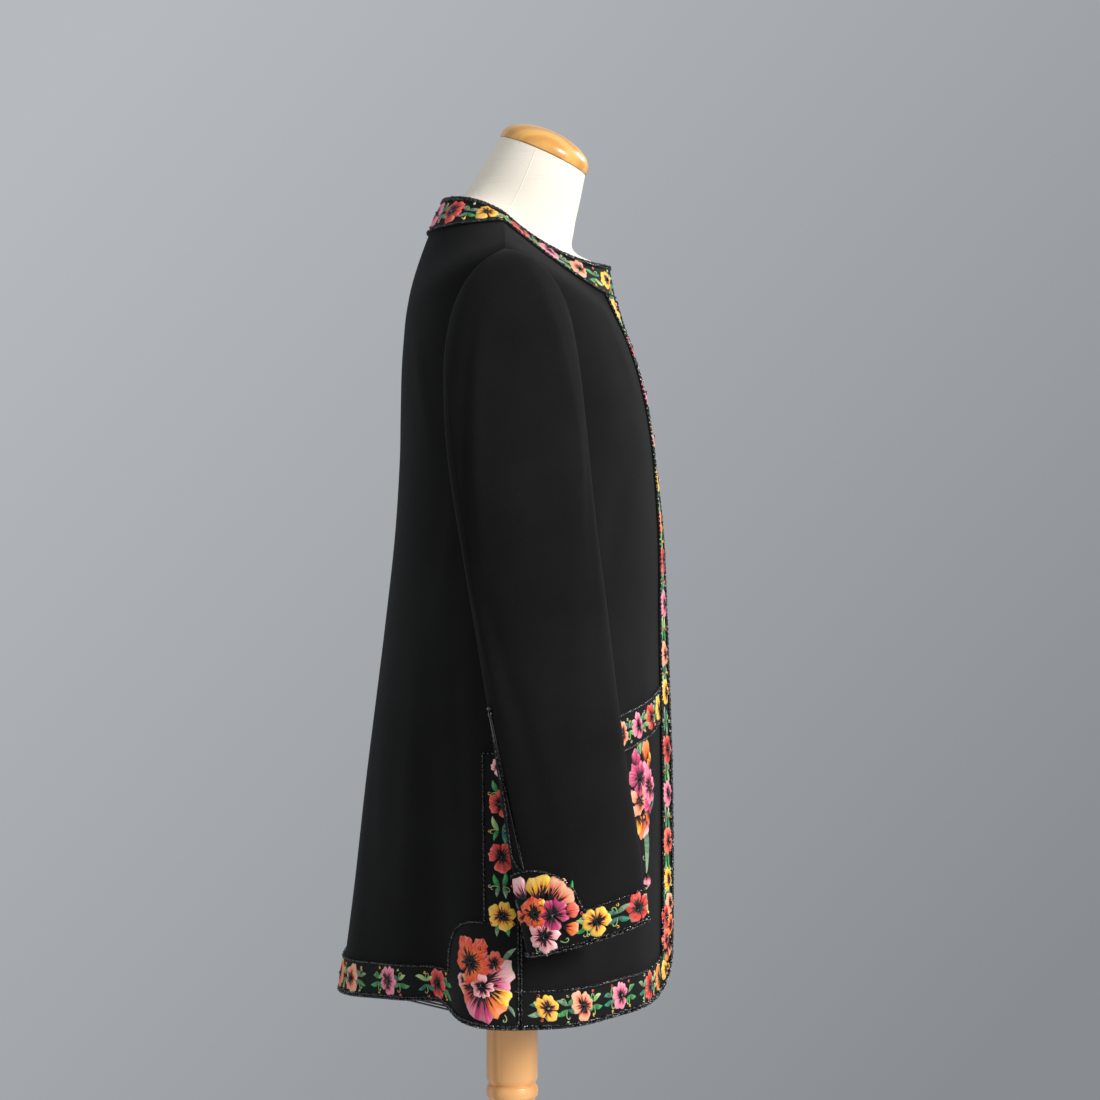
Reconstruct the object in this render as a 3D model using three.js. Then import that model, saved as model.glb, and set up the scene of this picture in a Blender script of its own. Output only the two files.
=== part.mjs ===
// A collarless beaded wool jacket worn by a limbless dress form on a turned wooden pole and foot.
// Millimetres, +Z up, the front of the jacket faces -Y, and the wearer's left is +X.
import * as THREE from "three";

// Driving dimensions
const WOOL = 2; // the coat cloth
const TRIM = 1.3; // the embroidered bands, sewn on top of the cloth
const SEAM = 0.4; // the gap left along each seam
const ON_TOP = 0.3; // the gap between a band and the cloth under it
const HEM_Z = 645;
const BAND_WIDE = 35; // along the hem, the front edges and the neck
const CUFF_BAND_WIDE = 32;
const SCALLOP_R = 60; // the quarter round in the corner of the hem band beside each vent
const CUFF_ARCH_R = 46; // the half round that stands on each cuff band
const VENT_TOP_Z = 885;
const VENT_OPEN = 3; // the vent's gap at the hem
const VENT_BAND_WIDE = 33;
const VENT_BAND_OVER = 8; // how far the vent's band goes on above the vent
const FRONT_CORNER_R = 38;
const POLE_R = 25.7;
const FOOT_R = 190;
const FOOT_THICK = 28;
const HAIR = 0.5; // a spot nearer than this to the line of a cut counts as on it

// The band over a pocket's mouth. from and to are lengths of cloth from the front edge, and fromZ and toZ the
// height of its top there.
const POCKET = { from: 44, to: 182, fromZ: 946, toZ: 922, tall: 36 };

const RIGHT_ANGLE = Math.PI / 2;
const degrees = (d) => (d * Math.PI) / 180;
const mix = (a, b, f) => a + (b - a) * f;
const clamp01 = (f) => Math.min(1, Math.max(0, f));
const bell = (f) => Math.exp(-f * f);
const spaced = (from, to, count) =>
  Array.from({ length: count + 1 }, (_, i) => mix(from, to, i / count));
const table = (columns, ...rows) =>
  rows.map((row) => Object.fromEntries(columns.map((name, i) => [name, row[i]])));

// Rings round the jacket's body, from the hem to the neckline. half is half the width, and front, back and
// widest are the y of the centre front, the centre back and the widest point. zFront, zSide and zBack are
// heights, bend says how late the ring climbs from the centre to the side, and prow is how far the front
// edges jut forward.
const RING = ["half", "front", "back", "widest", "zFront", "zSide", "zBack", "bend"];
const BODY = table(
  [...RING, "prow"],
  [262, -146, 168, -11, HEM_Z, HEM_Z, HEM_Z, 1, 12],
  [244, -147, 156, -10, 745, 745, 745, 1, 12],
  [225, -147, 144, -8, 860, 860, 860, 1, 11],
  [207, -146, 127, -5, 1000, 1000, 1000, 1, 7],
  [198, -146, 117, -3, 1090, 1090, 1090, 1, 3],
  [194, -141, 112, 0, 1165, 1165, 1165, 1, 0],
  [193, -136, 111, 1, 1205, 1225, 1212, 0.8, 0],
  [192, -129, 110, 2, 1238, 1290, 1255, 0.7, 1],
  [191, -122, 108, 3, 1260, 1335, 1285, 0.65, 2],
  [184, -113, 105, 4, 1285, 1362, 1315, 0.7, 3],
  [142, -104, 98, 5, 1308, 1381, 1350, 0.9, 4],
  [97, -97, 83, 7, 1331, 1397, 1394, 1.3, 5],
  [66, -90, 67, 8, 1363, 1408, 1428, 2, 6],
);
const PIT = 5; // the ring at the foot of the armhole
const TIP = 9; // the ring over the tip of the shoulder
const COLLAR = 11; // the ring along the outer edge of the neck band
const UNDER_COLLAR = COLLAR - 0.02; // where the front bands end
const NECK = BODY.length - 1;
const PROW_WIDE = 46;
const BUST = { angle: degrees(38), wide: degrees(17), z: 1178, tall: 62, out: 9 };
const ARMHOLE = { front: degrees(26), back: degrees(31) };

// The large folds of the skirt on each side: the angle from the centre front, how far the cloth stands out at
// the hem, how much the hem rises there, half the fold's width and the height at which it has faded out.
const FOLDS = table(
  ["angle", "out", "rise", "wide", "top"],
  [52, -5, 0, 13, 960],
  [74, 4, 0, 11, 930],
  [103, 9, -1, 12, 1010],
  [125, -36, 13, 17, 1120],
  [148, -16, 5, 14, 1060],
  [170, 3, 0, 12, 980],
).map((fold) => ({ ...fold, angle: degrees(fold.angle), wide: degrees(fold.wide) }));

// Sections down an empty sleeve, from beside the armhole to the cuff. outX and outZ are the outermost point,
// underX and underZ the one nearest the body, midY and halfY the place and half the width from front to back,
// and rise is how much higher the front edge lies than the middle.
const SLEEVE = table(
  ["outX", "outZ", "underX", "underZ", "midY", "halfY", "rise"],
  [203, 1357, 200, 1160, -1, 60, 0],
  [222, 1341, 203, 1148, -2, 62.5, 0],
  [237, 1311, 205, 1132, -4, 64, 0],
  [247, 1266, 207, 1108, -7, 65, 2],
  [254, 1205, 210, 1078, -12, 64, 4],
  [261, 1130, 215, 1035, -20, 62, 6],
  [268, 1045, 219, 985, -30, 60.5, 8],
  [276, 955, 226, 920, -41, 58.5, 10],
  [285, 870, 235, 850, -52, 57.5, 12],
  [295, 797, 246, 787, -63, 57, 14],
  [304, 728, 257, 733, -72, 53, 16],
);
const CUFF = SLEEVE.length; // the sleeve's own first ring is the armhole's edge

// A value between the rows of a table, on a smooth curve through them.
function curveAt(values, v) {
  const last = values.length - 1;
  const i = Math.min(Math.max(Math.floor(v), 0), last - 1);
  const f = v - i;
  const b = values[i];
  const c = values[i + 1];
  const a = i > 0 ? values[i - 1] : 2 * b - c;
  const d = i < last - 1 ? values[i + 2] : 2 * c - b;
  return b + 0.5 * f * (c - a + f * (2 * a - 5 * b + 4 * c - d + f * (3 * (b - c) + d - a)));
}

function rowAt(rows, v) {
  return Object.fromEntries(
    Object.keys(rows[0]).map((name) => [name, curveAt(rows.map((row) => row[name]), v)]),
  );
}

// A point at angle t of a ring, where 0 is the centre front and a right angle the wearer's left side.
function ringPoint(ring, t) {
  const cos = Math.cos(t);
  const ahead = cos > 0;
  const reach = ahead ? ring.widest - ring.front : ring.back - ring.widest;
  const lift = (1 - Math.abs(cos)) ** ring.bend;
  return new THREE.Vector3(
    ring.half * Math.sin(t),
    ring.widest - reach * cos,
    mix(ahead ? ring.zFront : ring.zBack, ring.zSide, lift),
  );
}

// A point on the outside of the jacket's body.
function bodyPoint(t, v) {
  const ring = rowAt(BODY, v);
  const p = ringPoint(ring, t);
  const side = Math.abs(t);
  if (side < RIGHT_ANGLE) {
    p.y -= ring.prow * clamp01(1 - Math.abs(p.x) / PROW_WIDE) ** 1.5;
    p.y -= BUST.out * bell((side - BUST.angle) / BUST.wide) * bell((p.z - BUST.z) / BUST.tall);
  }
  const outward = new THREE.Vector2(p.x / ring.half ** 2, (p.y - ring.widest) / ring.back ** 2);
  outward.normalize();
  for (const fold of FOLDS) {
    const fade = clamp01((fold.top - p.z) / (fold.top - HEM_Z)) ** 1.6;
    const share = fade * bell((side - fold.angle) / fold.wide);
    p.x += outward.x * fold.out * share;
    p.y += outward.y * fold.out * share;
    p.z += fold.rise * share;
  }
  return p;
}

// The outward direction of a surface at (a, b). home keeps the step on its own side of the centre front.
function normalOf(surface, a, b, home = -Infinity) {
  const step = 0.004;
  const low = Math.max(a - step, home);
  const across = surface(a + step, b).sub(surface(low, b));
  const up = surface(a, b + step).sub(surface(a, b - step));
  return across.cross(up).normalize();
}

// The place and direction of the jacket's left half at (t, v).
function bodyAt(t, v) {
  return { point: bodyPoint(t, v), normal: normalOf(bodyPoint, t, v, 0) };
}

// The height of the side line at ring v as a share of the armhole: -1 at its foot and 1 at the tip.
const ARMHOLE_MID_Z = (BODY[PIT].zSide + BODY[TIP].zSide) / 2;
const ARMHOLE_HALF_Z = (BODY[TIP].zSide - BODY[PIT].zSide) / 2;

function armholeShare(v) {
  const up = (rowAt(BODY, v).zSide - ARMHOLE_MID_Z) / ARMHOLE_HALF_Z;
  return v < PIT || v > TIP ? 0 : Math.sqrt(Math.max(0, 1 - up * up));
}

function armholeRing(phi) {
  const z = ARMHOLE_MID_Z + ARMHOLE_HALF_Z * Math.cos(phi);
  let low = PIT;
  let high = TIP;
  for (let i = 0; i < 30; i++) {
    const mid = (low + high) / 2;
    if (rowAt(BODY, mid).zSide < z) low = mid;
    else high = mid;
  }
  return (low + high) / 2;
}

// The edge of the armhole: phi is 0 at the tip, a right angle at the front and pi at the foot.
function armholePoint(phi) {
  const ahead = Math.sin(phi);
  const wide = ahead > 0 ? ARMHOLE.front : ARMHOLE.back;
  return bodyPoint(RIGHT_ANGLE - wide * ahead, armholeRing(phi));
}

function sleeveRing(k, phi) {
  if (k <= 0) return armholePoint(phi).add(new THREE.Vector3(2 * SEAM, 0, 0));
  const row = SLEEVE[k - 1];
  const cos = Math.cos(phi);
  const sin = Math.sin(phi);
  return new THREE.Vector3(
    (row.outX + row.underX) / 2 + ((row.outX - row.underX) / 2) * cos,
    row.midY - row.halfY * sin,
    (row.outZ + row.underZ) / 2 + ((row.outZ - row.underZ) / 2) * cos + row.rise * sin,
  );
}

// A point on the outside of the left sleeve, at ring k of 0 to CUFF.
function sleevePoint(phi, k) {
  const i = Math.min(Math.max(Math.floor(k), 0), CUFF - 1);
  const f = k - i;
  const b = sleeveRing(i, phi);
  const c = sleeveRing(i + 1, phi);
  const a = i > 0 ? sleeveRing(i - 1, phi) : b.clone().multiplyScalar(2).sub(c);
  const d = i < CUFF - 1 ? sleeveRing(i + 2, phi) : c.clone().multiplyScalar(2).sub(b);
  const curve = (name) => curveAt([a[name], b[name], c[name], d[name]], 1 + f);
  return new THREE.Vector3(curve("x"), curve("y"), curve("z"));
}

function sleeveAt(phi, k) {
  const normal = normalOf(sleevePoint, phi, Math.min(Math.max(k, 0.01), CUFF - 0.01)).negate();
  if (k < 0.5) normal.setX(0).normalize();
  return { point: sleevePoint(phi, k), normal };
}

// Turns a list of points and triangles into a closed geometry whose faces point out. mirrored makes the
// right-hand twin.
function solidOf(points, faces, mirrored) {
  const flat = points.flatMap((p) => [mirrored ? -p.x : p.x, p.y, p.z]);
  const at = (i) => new THREE.Vector3(flat[3 * i], flat[3 * i + 1], flat[3 * i + 2]);
  let volume = 0;
  for (const [a, b, c] of faces) volume += at(a).dot(at(b).cross(at(c)));
  const facing = volume < 0 ? faces.map(([a, b, c]) => [a, c, b]) : faces;
  const geometry = new THREE.BufferGeometry();
  geometry.setAttribute("position", new THREE.Float32BufferAttribute(flat, 3));
  geometry.setIndex(facing.flat());
  geometry.computeVertexNormals();
  return geometry;
}

// A sheet is cloth without its thickness: spots, each with a point, an outward normal, the length of cloth
// along its row, its height up the piece and its ring, and the triangles between them. place(i, j) gives the
// spot of column i and row j, and closed joins the last column to the first.
function gridSheet({ columns, rows, place, closed = false }) {
  const across = closed ? columns : columns + 1;
  const spots = [];
  for (let i = 0; i < across; i++)
    for (let j = 0; j <= rows; j++) {
      const spot = place(i, j);
      if (i > 0) {
        const before = spots[spots.length - 1 - rows];
        spot.along = before.along + before.point.distanceTo(spot.point);
      }
      spots.push(spot);
    }
  const index = (i, j) => (i % across) * (rows + 1) + j;
  const length = (a, b) => spots[a].point.distanceTo(spots[b].point);
  const faces = [];
  for (let i = 0; i < columns; i++)
    for (let j = 0; j < rows; j++) {
      const [a, b, c, d] = [index(i, j), index(i + 1, j), index(i + 1, j + 1), index(i, j + 1)];
      if (length(a, c) < length(b, d)) faces.push([a, b, c], [a, c, d]);
      else faces.push([a, b, d], [b, c, d]);
    }
  return { spots, faces };
}

function between(a, b, f) {
  return {
    point: a.point.clone().lerp(b.point, f),
    normal: a.normal.clone().lerp(b.normal, f).normalize(),
    along: mix(a.along, b.along, f),
    up: mix(a.up, b.up, f),
    ring: mix(a.ring, b.ring, f),
  };
}

// The part of a sheet where measure(spot) is nought or less. A spot within a hair of the line counts as on
// it.
function cut(sheet, measure) {
  const spots = [...sheet.spots];
  const value = spots.map(measure).map((far) => (Math.abs(far) < HAIR ? 0 : far));
  const crossings = new Map();
  const crossing = (a, b) => {
    const edge = `${Math.min(a, b)} ${Math.max(a, b)}`;
    if (!crossings.has(edge)) {
      spots.push(between(spots[a], spots[b], value[a] / (value[a] - value[b])));
      crossings.set(edge, spots.length - 1);
    }
    return crossings.get(edge);
  };
  const faces = [];
  for (const face of sheet.faces) {
    const kept = [];
    face.forEach((a, n) => {
      const b = face[(n + 1) % 3];
      if (value[a] <= 0) kept.push(a);
      if (value[a] * value[b] < 0) kept.push(crossing(a, b));
    });
    for (let n = 2; n < kept.length; n++) faces.push([kept[0], kept[n - 1], kept[n]]);
  }
  return { spots, faces };
}

// Gives a sheet its thickness. low is the underside's height above the sheet.
function wall(sheet, low, thick, mirrored = false) {
  const used = [...new Set(sheet.faces.flat())];
  const place = new Map(used.map((spot, i) => [spot, i]));
  const count = used.length;
  const moved = ({ point, normal }, far) => point.clone().addScaledVector(normal, far);
  const offset = (far) => used.map((i) => moved(sheet.spots[i], far));
  const points = [...offset(low + thick), ...offset(low)];
  const faces = sheet.faces.map((face) => face.map((spot) => place.get(spot)));
  const edges = new Set(faces.flatMap(([a, b, c]) => [`${a} ${b}`, `${b} ${c}`, `${c} ${a}`]));
  const solid = [];
  for (const [a, b, c] of faces) {
    solid.push([a, b, c], [a + count, c + count, b + count]);
    for (const [from, to] of [[a, b], [b, c], [c, a]])
      if (!edges.has(`${to} ${from}`)) solid.push([to, from, from + count], [to, from + count, to + count]);
  }
  return solidOf(points, solid, mirrored);
}

// A solid through closed rings of points from the top down, with flat ends. Each quad is split along its
// inner diagonal, so the solid stays under cloth that has the same points.
function loft(rings) {
  const count = rings[0].length;
  const points = rings.flat();
  const faces = [];
  for (let k = 0; k + 1 < rings.length; k++)
    for (let i = 0; i < count; i++) {
      const next = (i + 1) % count;
      const [a, b, c, d] = [k * count + i, k * count + next, (k + 1) * count + next, (k + 1) * count + i];
      const inward = points[c].clone().sub(points[a]).cross(points[d].clone().sub(points[b]));
      const deeper = points[a].clone().add(points[c]).sub(points[b]).sub(points[d]).dot(inward);
      if (deeper > 0) faces.push([a, b, c], [a, c, d]);
      else faces.push([a, b, d], [b, c, d]);
    }
  const cap = (first, ring) => {
    const centre = ring.reduce((sum, p) => sum.add(p), new THREE.Vector3()).divideScalar(count);
    points.push(centre);
    for (let i = 0; i < count; i++) {
      const next = (i + 1) % count;
      const corner = [first + i, first + next, points.length - 1];
      faces.push(first ? corner : corner.reverse());
    }
  };
  cap(0, rings[0]);
  cap((rings.length - 1) * count, rings[rings.length - 1]);
  return solidOf(points, faces, false);
}

// How far the front edge stands back from the centre line, with the round of its lower corner.
function frontEdgeX(z) {
  const below = Math.max(0, FRONT_CORNER_R - (z - HEM_Z));
  return SEAM + FRONT_CORNER_R - Math.sqrt(FRONT_CORNER_R ** 2 - below ** 2);
}

function frontEdgeAngle(v) {
  const ring = rowAt(BODY, v);
  return Math.asin(frontEdgeX(ring.zFront) / ring.half);
}

// Half the gap of the side seam, which opens into the vent below VENT_TOP_Z.
function sideGap(v) {
  const ring = rowAt(BODY, v);
  const open = (VENT_OPEN - SEAM) * clamp01((VENT_TOP_Z - ring.zSide) / (VENT_TOP_Z - HEM_Z));
  return (SEAM + open) / 2;
}

function frontSideAngle(v) {
  const ring = rowAt(BODY, v);
  return RIGHT_ANGLE - ARMHOLE.front * armholeShare(v) - sideGap(v) / (ring.widest - ring.front);
}

function backSideAngle(v) {
  const ring = rowAt(BODY, v);
  return RIGHT_ANGLE + ARMHOLE.back * armholeShare(v) + sideGap(v) / (ring.back - ring.widest);
}

const SLEEVE_COLUMNS = 20;
const SLEEVE_ROWS = [CUFF, 10.65, 10.3, 9.8, 9, 8, 7, 6, 5, 4, 3, 2.3, 1.6, 1, 0.5, 0];

// The ring values of a body panel's rows: close together at the hem for the corner and the scallop, and
// beside the armhole at the sleeve's own columns.
const PANEL_ROWS = [
  ...[0, 0.04, 0.15, 0.33, 0.45, 0.6, 0.75, 0.88, 1.06, 1.5, 2.05, 2.6, 3.2, 3.8, 4.4, PIT],
  ...spaced(Math.PI, 0, SLEEVE_COLUMNS / 2).slice(1, -1).map(armholeRing),
  ...[TIP, 9.6, 10.3, UNDER_COLLAR, COLLAR, 11.5, NECK],
];
// The columns of one front, and of half the back, as shares of its width.
const FRONT_SHARES = spaced(0, 1, 12);
const BACK_SHARES = [0, 0.05, 0.1, 0.15, 0.2, 0.25, 0.31, 0.38, 0.47, 0.57, 0.67, 0.78, 0.89, 1];

const SEAM_ANGLE = 0.03;
const NEARLY = 1e-6;

// A spot of the body's left half. Along the centre lines and the side seam the thickness of the cloth lies
// square to the seam, so the two sides of it stay apart.
function bodySpot(t, v, along = 0) {
  const { point, normal } = bodyAt(t, v);
  if (t < frontEdgeAngle(v) + NEARLY || t > Math.PI - NEARLY) normal.setX(0).normalize();
  if (Math.abs(t - RIGHT_ANGLE) < SEAM_ANGLE) normal.setY(0).normalize();
  return { point, normal, along, up: point.z - bodyPoint(t, 0).z, ring: v };
}

function frontAngle(column, v) {
  return mix(frontEdgeAngle(v), frontSideAngle(v), FRONT_SHARES[column]);
}

function backAngle(column, v) {
  return mix(backSideAngle(v), Math.PI, BACK_SHARES[column]);
}

function turnedOver({ point, normal, ...rest }) {
  return { point: flipped(point), normal: flipped(normal), ...rest };
}

function flipped(p) {
  return new THREE.Vector3(-p.x, p.y, p.z);
}

const frontSheet = gridSheet({
  columns: FRONT_SHARES.length - 1,
  rows: PANEL_ROWS.length - 1,
  place(i, j) {
    const v = PANEL_ROWS[j];
    return bodySpot(frontAngle(i, v), v, frontEdgeX(rowAt(BODY, v).zFront));
  },
});

// The back is one panel from side to side, so its far half is the near half turned over.
const BACK_HALF = BACK_SHARES.length - 1;
const backSheet = gridSheet({
  columns: 2 * BACK_HALF,
  rows: PANEL_ROWS.length - 1,
  place(i, j) {
    const v = PANEL_ROWS[j];
    if (i <= BACK_HALF) return bodySpot(backAngle(i, v), v);
    return turnedOver(bodySpot(backAngle(2 * BACK_HALF - i, v), v));
  },
});
for (const [n, spot] of backSheet.spots.entries()) {
  const rows = PANEL_ROWS.length;
  const opposite = (2 * BACK_HALF - Math.floor(n / rows)) * rows + (n % rows);
  if (opposite < n) spot.along = backSheet.spots[opposite].along;
}

const sleeveSheet = gridSheet({
  columns: SLEEVE_COLUMNS,
  rows: SLEEVE_ROWS.length - 1,
  closed: true,
  place(i, j) {
    const k = SLEEVE_ROWS[j];
    return { ...sleeveAt((2 * Math.PI * i) / SLEEVE_COLUMNS, k), along: 0, up: 0, ring: k };
  },
});

// A sleeve is sewn from a top and an under sleeve, and its seams run down these two columns.
const FRONT_SEAM = 6;
const BACK_SEAM = 16;

// The part of the sleeve from one seam's column to the other's.
function sleevePiece(from, to) {
  const columns = to - from;
  return gridSheet({
    columns,
    rows: SLEEVE_ROWS.length - 1,
    place(i, j) {
      const k = SLEEVE_ROWS[j];
      const phi = (2 * Math.PI * (from + i)) / SLEEVE_COLUMNS;
      const spot = sleeveAt(phi, k);
      const inward = i === 0 ? SEAM_ANGLE : i === columns ? -SEAM_ANGLE : 0;
      const across = sleevePoint(phi + inward, k).sub(spot.point).setLength(SEAM);
      if (inward) spot.point.add(across);
      return spot;
    },
  });
}

const topSleeve = sleevePiece(BACK_SEAM, FRONT_SEAM + SLEEVE_COLUMNS);
const underSleeve = sleevePiece(FRONT_SEAM, BACK_SEAM);

// On the sleeve, up is the length of cloth above the cuff's edge and along the length either way from the
// middle of the arch, which is on the back of the sleeve.
const ARCH_COLUMN = 17;
for (const [n, spot] of sleeveSheet.spots.entries()) {
  const rows = SLEEVE_ROWS.length;
  const column = Math.floor(n / rows);
  const row = n % rows;
  const at = (i, j) => sleeveSheet.spots[((i + SLEEVE_COLUMNS) % SLEEVE_COLUMNS) * rows + j].point;
  const turns = ((column - ARCH_COLUMN + 1.5 * SLEEVE_COLUMNS) % SLEEVE_COLUMNS) - SLEEVE_COLUMNS / 2;
  const way = Math.sign(turns);
  spot.along = 0;
  for (let i = ARCH_COLUMN; (i - ARCH_COLUMN - turns) * way < 0; i += way)
    spot.along += at(i, row).distanceTo(at(i + way, row));
  if (row > 0) spot.up = sleeveSheet.spots[n - 1].up + spot.point.distanceTo(at(column, row - 1));
}

// The hem band of a front goes round the lower corner, and the front band stands on it.
const RING_STEP = 100; // turns a difference in rings into a length, far over a hair
const frontHemBand = cut(frontSheet, (spot) => spot.up - BAND_WIDE);
const frontBand = [
  (spot) => spot.along - BAND_WIDE,
  (spot) => BAND_WIDE + SEAM - spot.up,
  (spot) => RING_STEP * (spot.ring - UNDER_COLLAR),
].reduce(cut, frontSheet);

// Each corner of the back hem band is a quarter round beside the vent, and the vent band stands on it.
const backHemBand = cut(backSheet, (spot) => {
  const beyond = spot.along - VENT_BAND_WIDE;
  const above = spot.up - BAND_WIDE;
  return Math.min(above, beyond > 0 ? Math.hypot(beyond, above) - SCALLOP_R : above - SCALLOP_R);
});
const ventBand = [
  (spot) => (spot.point.x > 0 ? spot.along - VENT_BAND_WIDE : VENT_BAND_WIDE),
  (spot) => BAND_WIDE + SCALLOP_R + SEAM - spot.up,
  (spot) => spot.point.z - VENT_TOP_Z - VENT_BAND_OVER,
].reduce(cut, backSheet);

function pocketTop(spot) {
  return mix(POCKET.fromZ, POCKET.toZ, (spot.along - POCKET.from) / (POCKET.to - POCKET.from));
}

const pocketBand = [
  (spot) => POCKET.from - spot.along,
  (spot) => spot.along - POCKET.to,
  (spot) => spot.point.z - pocketTop(spot),
  (spot) => pocketTop(spot) - POCKET.tall - spot.point.z,
].reduce(cut, frontSheet);

const cuffBand = cut(sleeveSheet, (spot) => {
  const above = spot.up - CUFF_BAND_WIDE;
  return Math.min(above, Math.hypot(spot.along, above) - CUFF_ARCH_R);
});

// The neck band goes from one front edge to the other over the back, on the panels' own columns.
const neckAngles = [
  ...FRONT_SHARES.map((_, i) => (v) => frontAngle(i, v)),
  ...BACK_SHARES.map((_, i) => (v) => backAngle(i, v)),
];
const neckRows = PANEL_ROWS.filter((v) => v >= COLLAR);
const neckBand = gridSheet({
  columns: 2 * (neckAngles.length - 1),
  rows: neckRows.length - 1,
  place(i, j) {
    const v = neckRows[j];
    const last = neckAngles.length - 1;
    if (i <= last) return bodySpot(neckAngles[i](v), v);
    return turnedOver(bodySpot(neckAngles[2 * last - i](v), v));
  },
});

// Rings of the dress form, from the top down: those of its neck, and those of its trunk under the shoulders.
const FORM_NECK = table(
  RING,
  [46.6, -73, 12, -30.5, 1454, 1473, 1492, 1],
  [49, -68, 25, -22, 1429, 1449, 1471, 1],
  [51, -62, 38, -12, 1400, 1425, 1449, 1],
  [56, -62, 52, -4, 1378, 1409, 1430, 2],
);
const FORM_TRUNK = table(
  RING,
  [174, -112, 103, 3, 1255, 1345, 1283, 0.65],
  [172, -120, 105, 3, 1225, 1290, 1245, 0.7],
  [167, -122, 104, 2, 1195, 1225, 1205, 0.9],
  [160, -117, 100, 0, 1160, 1165, 1160, 1],
  [140, -102, 88, -4, 1100, 1100, 1100, 1],
  [127, -88, 76, -4, 1035, 1035, 1035, 1],
  [150, -97, 92, -2, 950, 950, 950, 1],
  [168, -104, 108, 0, 870, 870, 870, 1],
  [163, -101, 106, 0, 812, 812, 812, 1],
  [155, -94, 98, 0, 796, 796, 796, 1],
);
const FORM_BUST = { angle: degrees(42), wide: degrees(17), z: 1172, tall: 42, out: 12 };
const FORM_EASE = 0.5; // between the cloth and the shoulders that carry it

// The angles of the form's columns, which are the panels' own along a ring of the body.
function formAngles(v) {
  const front = FRONT_SHARES.slice(1, -1).map((_, i) => frontAngle(i + 1, v));
  const back = BACK_SHARES.slice(1, -1).map((_, i) => backAngle(i + 1, v));
  const side = [...front, RIGHT_ANGLE, ...back];
  return [0, ...side, Math.PI, ...side.reverse().map((t) => -t)];
}

function formRing(row) {
  return formAngles(NECK).map((t) => {
    const p = ringPoint(row, t);
    if (p.y < row.widest) {
      const near = bell((Math.abs(t) - FORM_BUST.angle) / FORM_BUST.wide);
      p.y -= FORM_BUST.out * near * bell((p.z - FORM_BUST.z) / FORM_BUST.tall);
    }
    return p;
  });
}

// A ring of the shoulders, just under the cloth that hangs on them.
function shoulderRing(v) {
  return formAngles(v).map((t) => {
    const { point, normal } = bodySpot(Math.abs(t), v);
    const p = point.addScaledVector(normal, -WOOL - FORM_EASE);
    return t < 0 ? flipped(p) : p;
  });
}

function formTorso() {
  const shoulders = PANEL_ROWS.filter((v) => v >= TIP && v !== UNDER_COLLAR).reverse();
  const neck = FORM_NECK.map(formRing);
  const trunk = FORM_TRUNK.map(formRing);
  return loft([...neck, ...shoulders.map(shoulderRing), ...trunk]);
}

// The wooden cap on the neck, turned about its own axis and leaning forward with the neck.
const CAP = { radius: 47.2, round: 1.5, edge: 4.5, dome: 22 };
const capSeat = FORM_NECK[0];
const CAP_LEAN = Math.atan2(capSeat.zBack - capSeat.zFront, capSeat.back - capSeat.front);

function neckCap() {
  const profile = [[0, 0], [CAP.radius - CAP.round, 0], [CAP.radius, CAP.round], [CAP.radius, CAP.edge]];
  for (const angle of spaced(0, RIGHT_ANGLE, 5).slice(1))
    profile.push([CAP.radius * Math.cos(angle), CAP.edge + CAP.dome * Math.sin(angle)]);
  return turned(profile, 28);
}

// A solid turned about +Z through [radius, height] pairs, whose first and last radius are nought.
function turned(profile, sides) {
  const points = profile.map(([r, z], i) => new THREE.Vector2(i && i < profile.length - 1 ? r : 0, z));
  return new THREE.LatheGeometry(points, sides).rotateX(RIGHT_ANGLE);
}

const FORM_FOOT_Z = FORM_TRUNK[FORM_TRUNK.length - 1].zSide;
const POLE_COLLAR = { out: 6, tall: 14 }; // where the pole meets the foot
const POLE_BEADS = [96, 540]; // the heights of the turned beads
// A turned bead between two coves: the height over its middle and how far it stands out from the pole.
const BEAD = table(["over", "out"], [-8, -2.6], [-5, -0.4], [0, 0.6], [5, -0.4], [7, -2.6], [13, 0]);

function pole() {
  const low = FOOT_THICK + SEAM;
  const collar = POLE_R + POLE_COLLAR.out;
  const profile = [[0, low], [collar, low], [collar, low + POLE_COLLAR.tall]];
  for (const z of POLE_BEADS) profile.push(...BEAD.map(({ over, out }) => [POLE_R + out, z + over]));
  profile.push([POLE_R, FORM_FOOT_Z - SEAM], [0, FORM_FOOT_Z - SEAM]);
  return turned(profile, 20);
}

// The foot's edge, from its underside up: how far in from the rim and how high.
const FOOT_EDGE = table(
  ["inset", "z"],
  [3, 0],
  [0, 3],
  [0, FOOT_THICK - 12],
  [4, FOOT_THICK - 4],
  [14, FOOT_THICK],
);

function foot() {
  const edge = FOOT_EDGE.map(({ inset, z }) => [FOOT_R - inset, z]);
  return turned([[0, 0], ...edge, [0, FOOT_THICK]], 36);
}

const MATERIALS = {
  wool: new THREE.MeshStandardMaterial({ color: 0x17171a, roughness: 0.95 }),
  trim: new THREE.MeshStandardMaterial({ color: 0x141416, roughness: 0.8 }),
  cover: new THREE.MeshStandardMaterial({ color: 0xf1e9d8, roughness: 0.85 }),
  cap: new THREE.MeshStandardMaterial({ color: 0xefb45c, roughness: 0.35 }),
  pole: new THREE.MeshStandardMaterial({ color: 0xd9a468, roughness: 0.4 }),
};

const jacket = new THREE.Group();
const form = new THREE.Group();

function add(group, name, geometry, material) {
  const mesh = new THREE.Mesh(geometry, MATERIALS[material]);
  mesh.name = name;
  group.add(mesh);
  return mesh;
}

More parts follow.
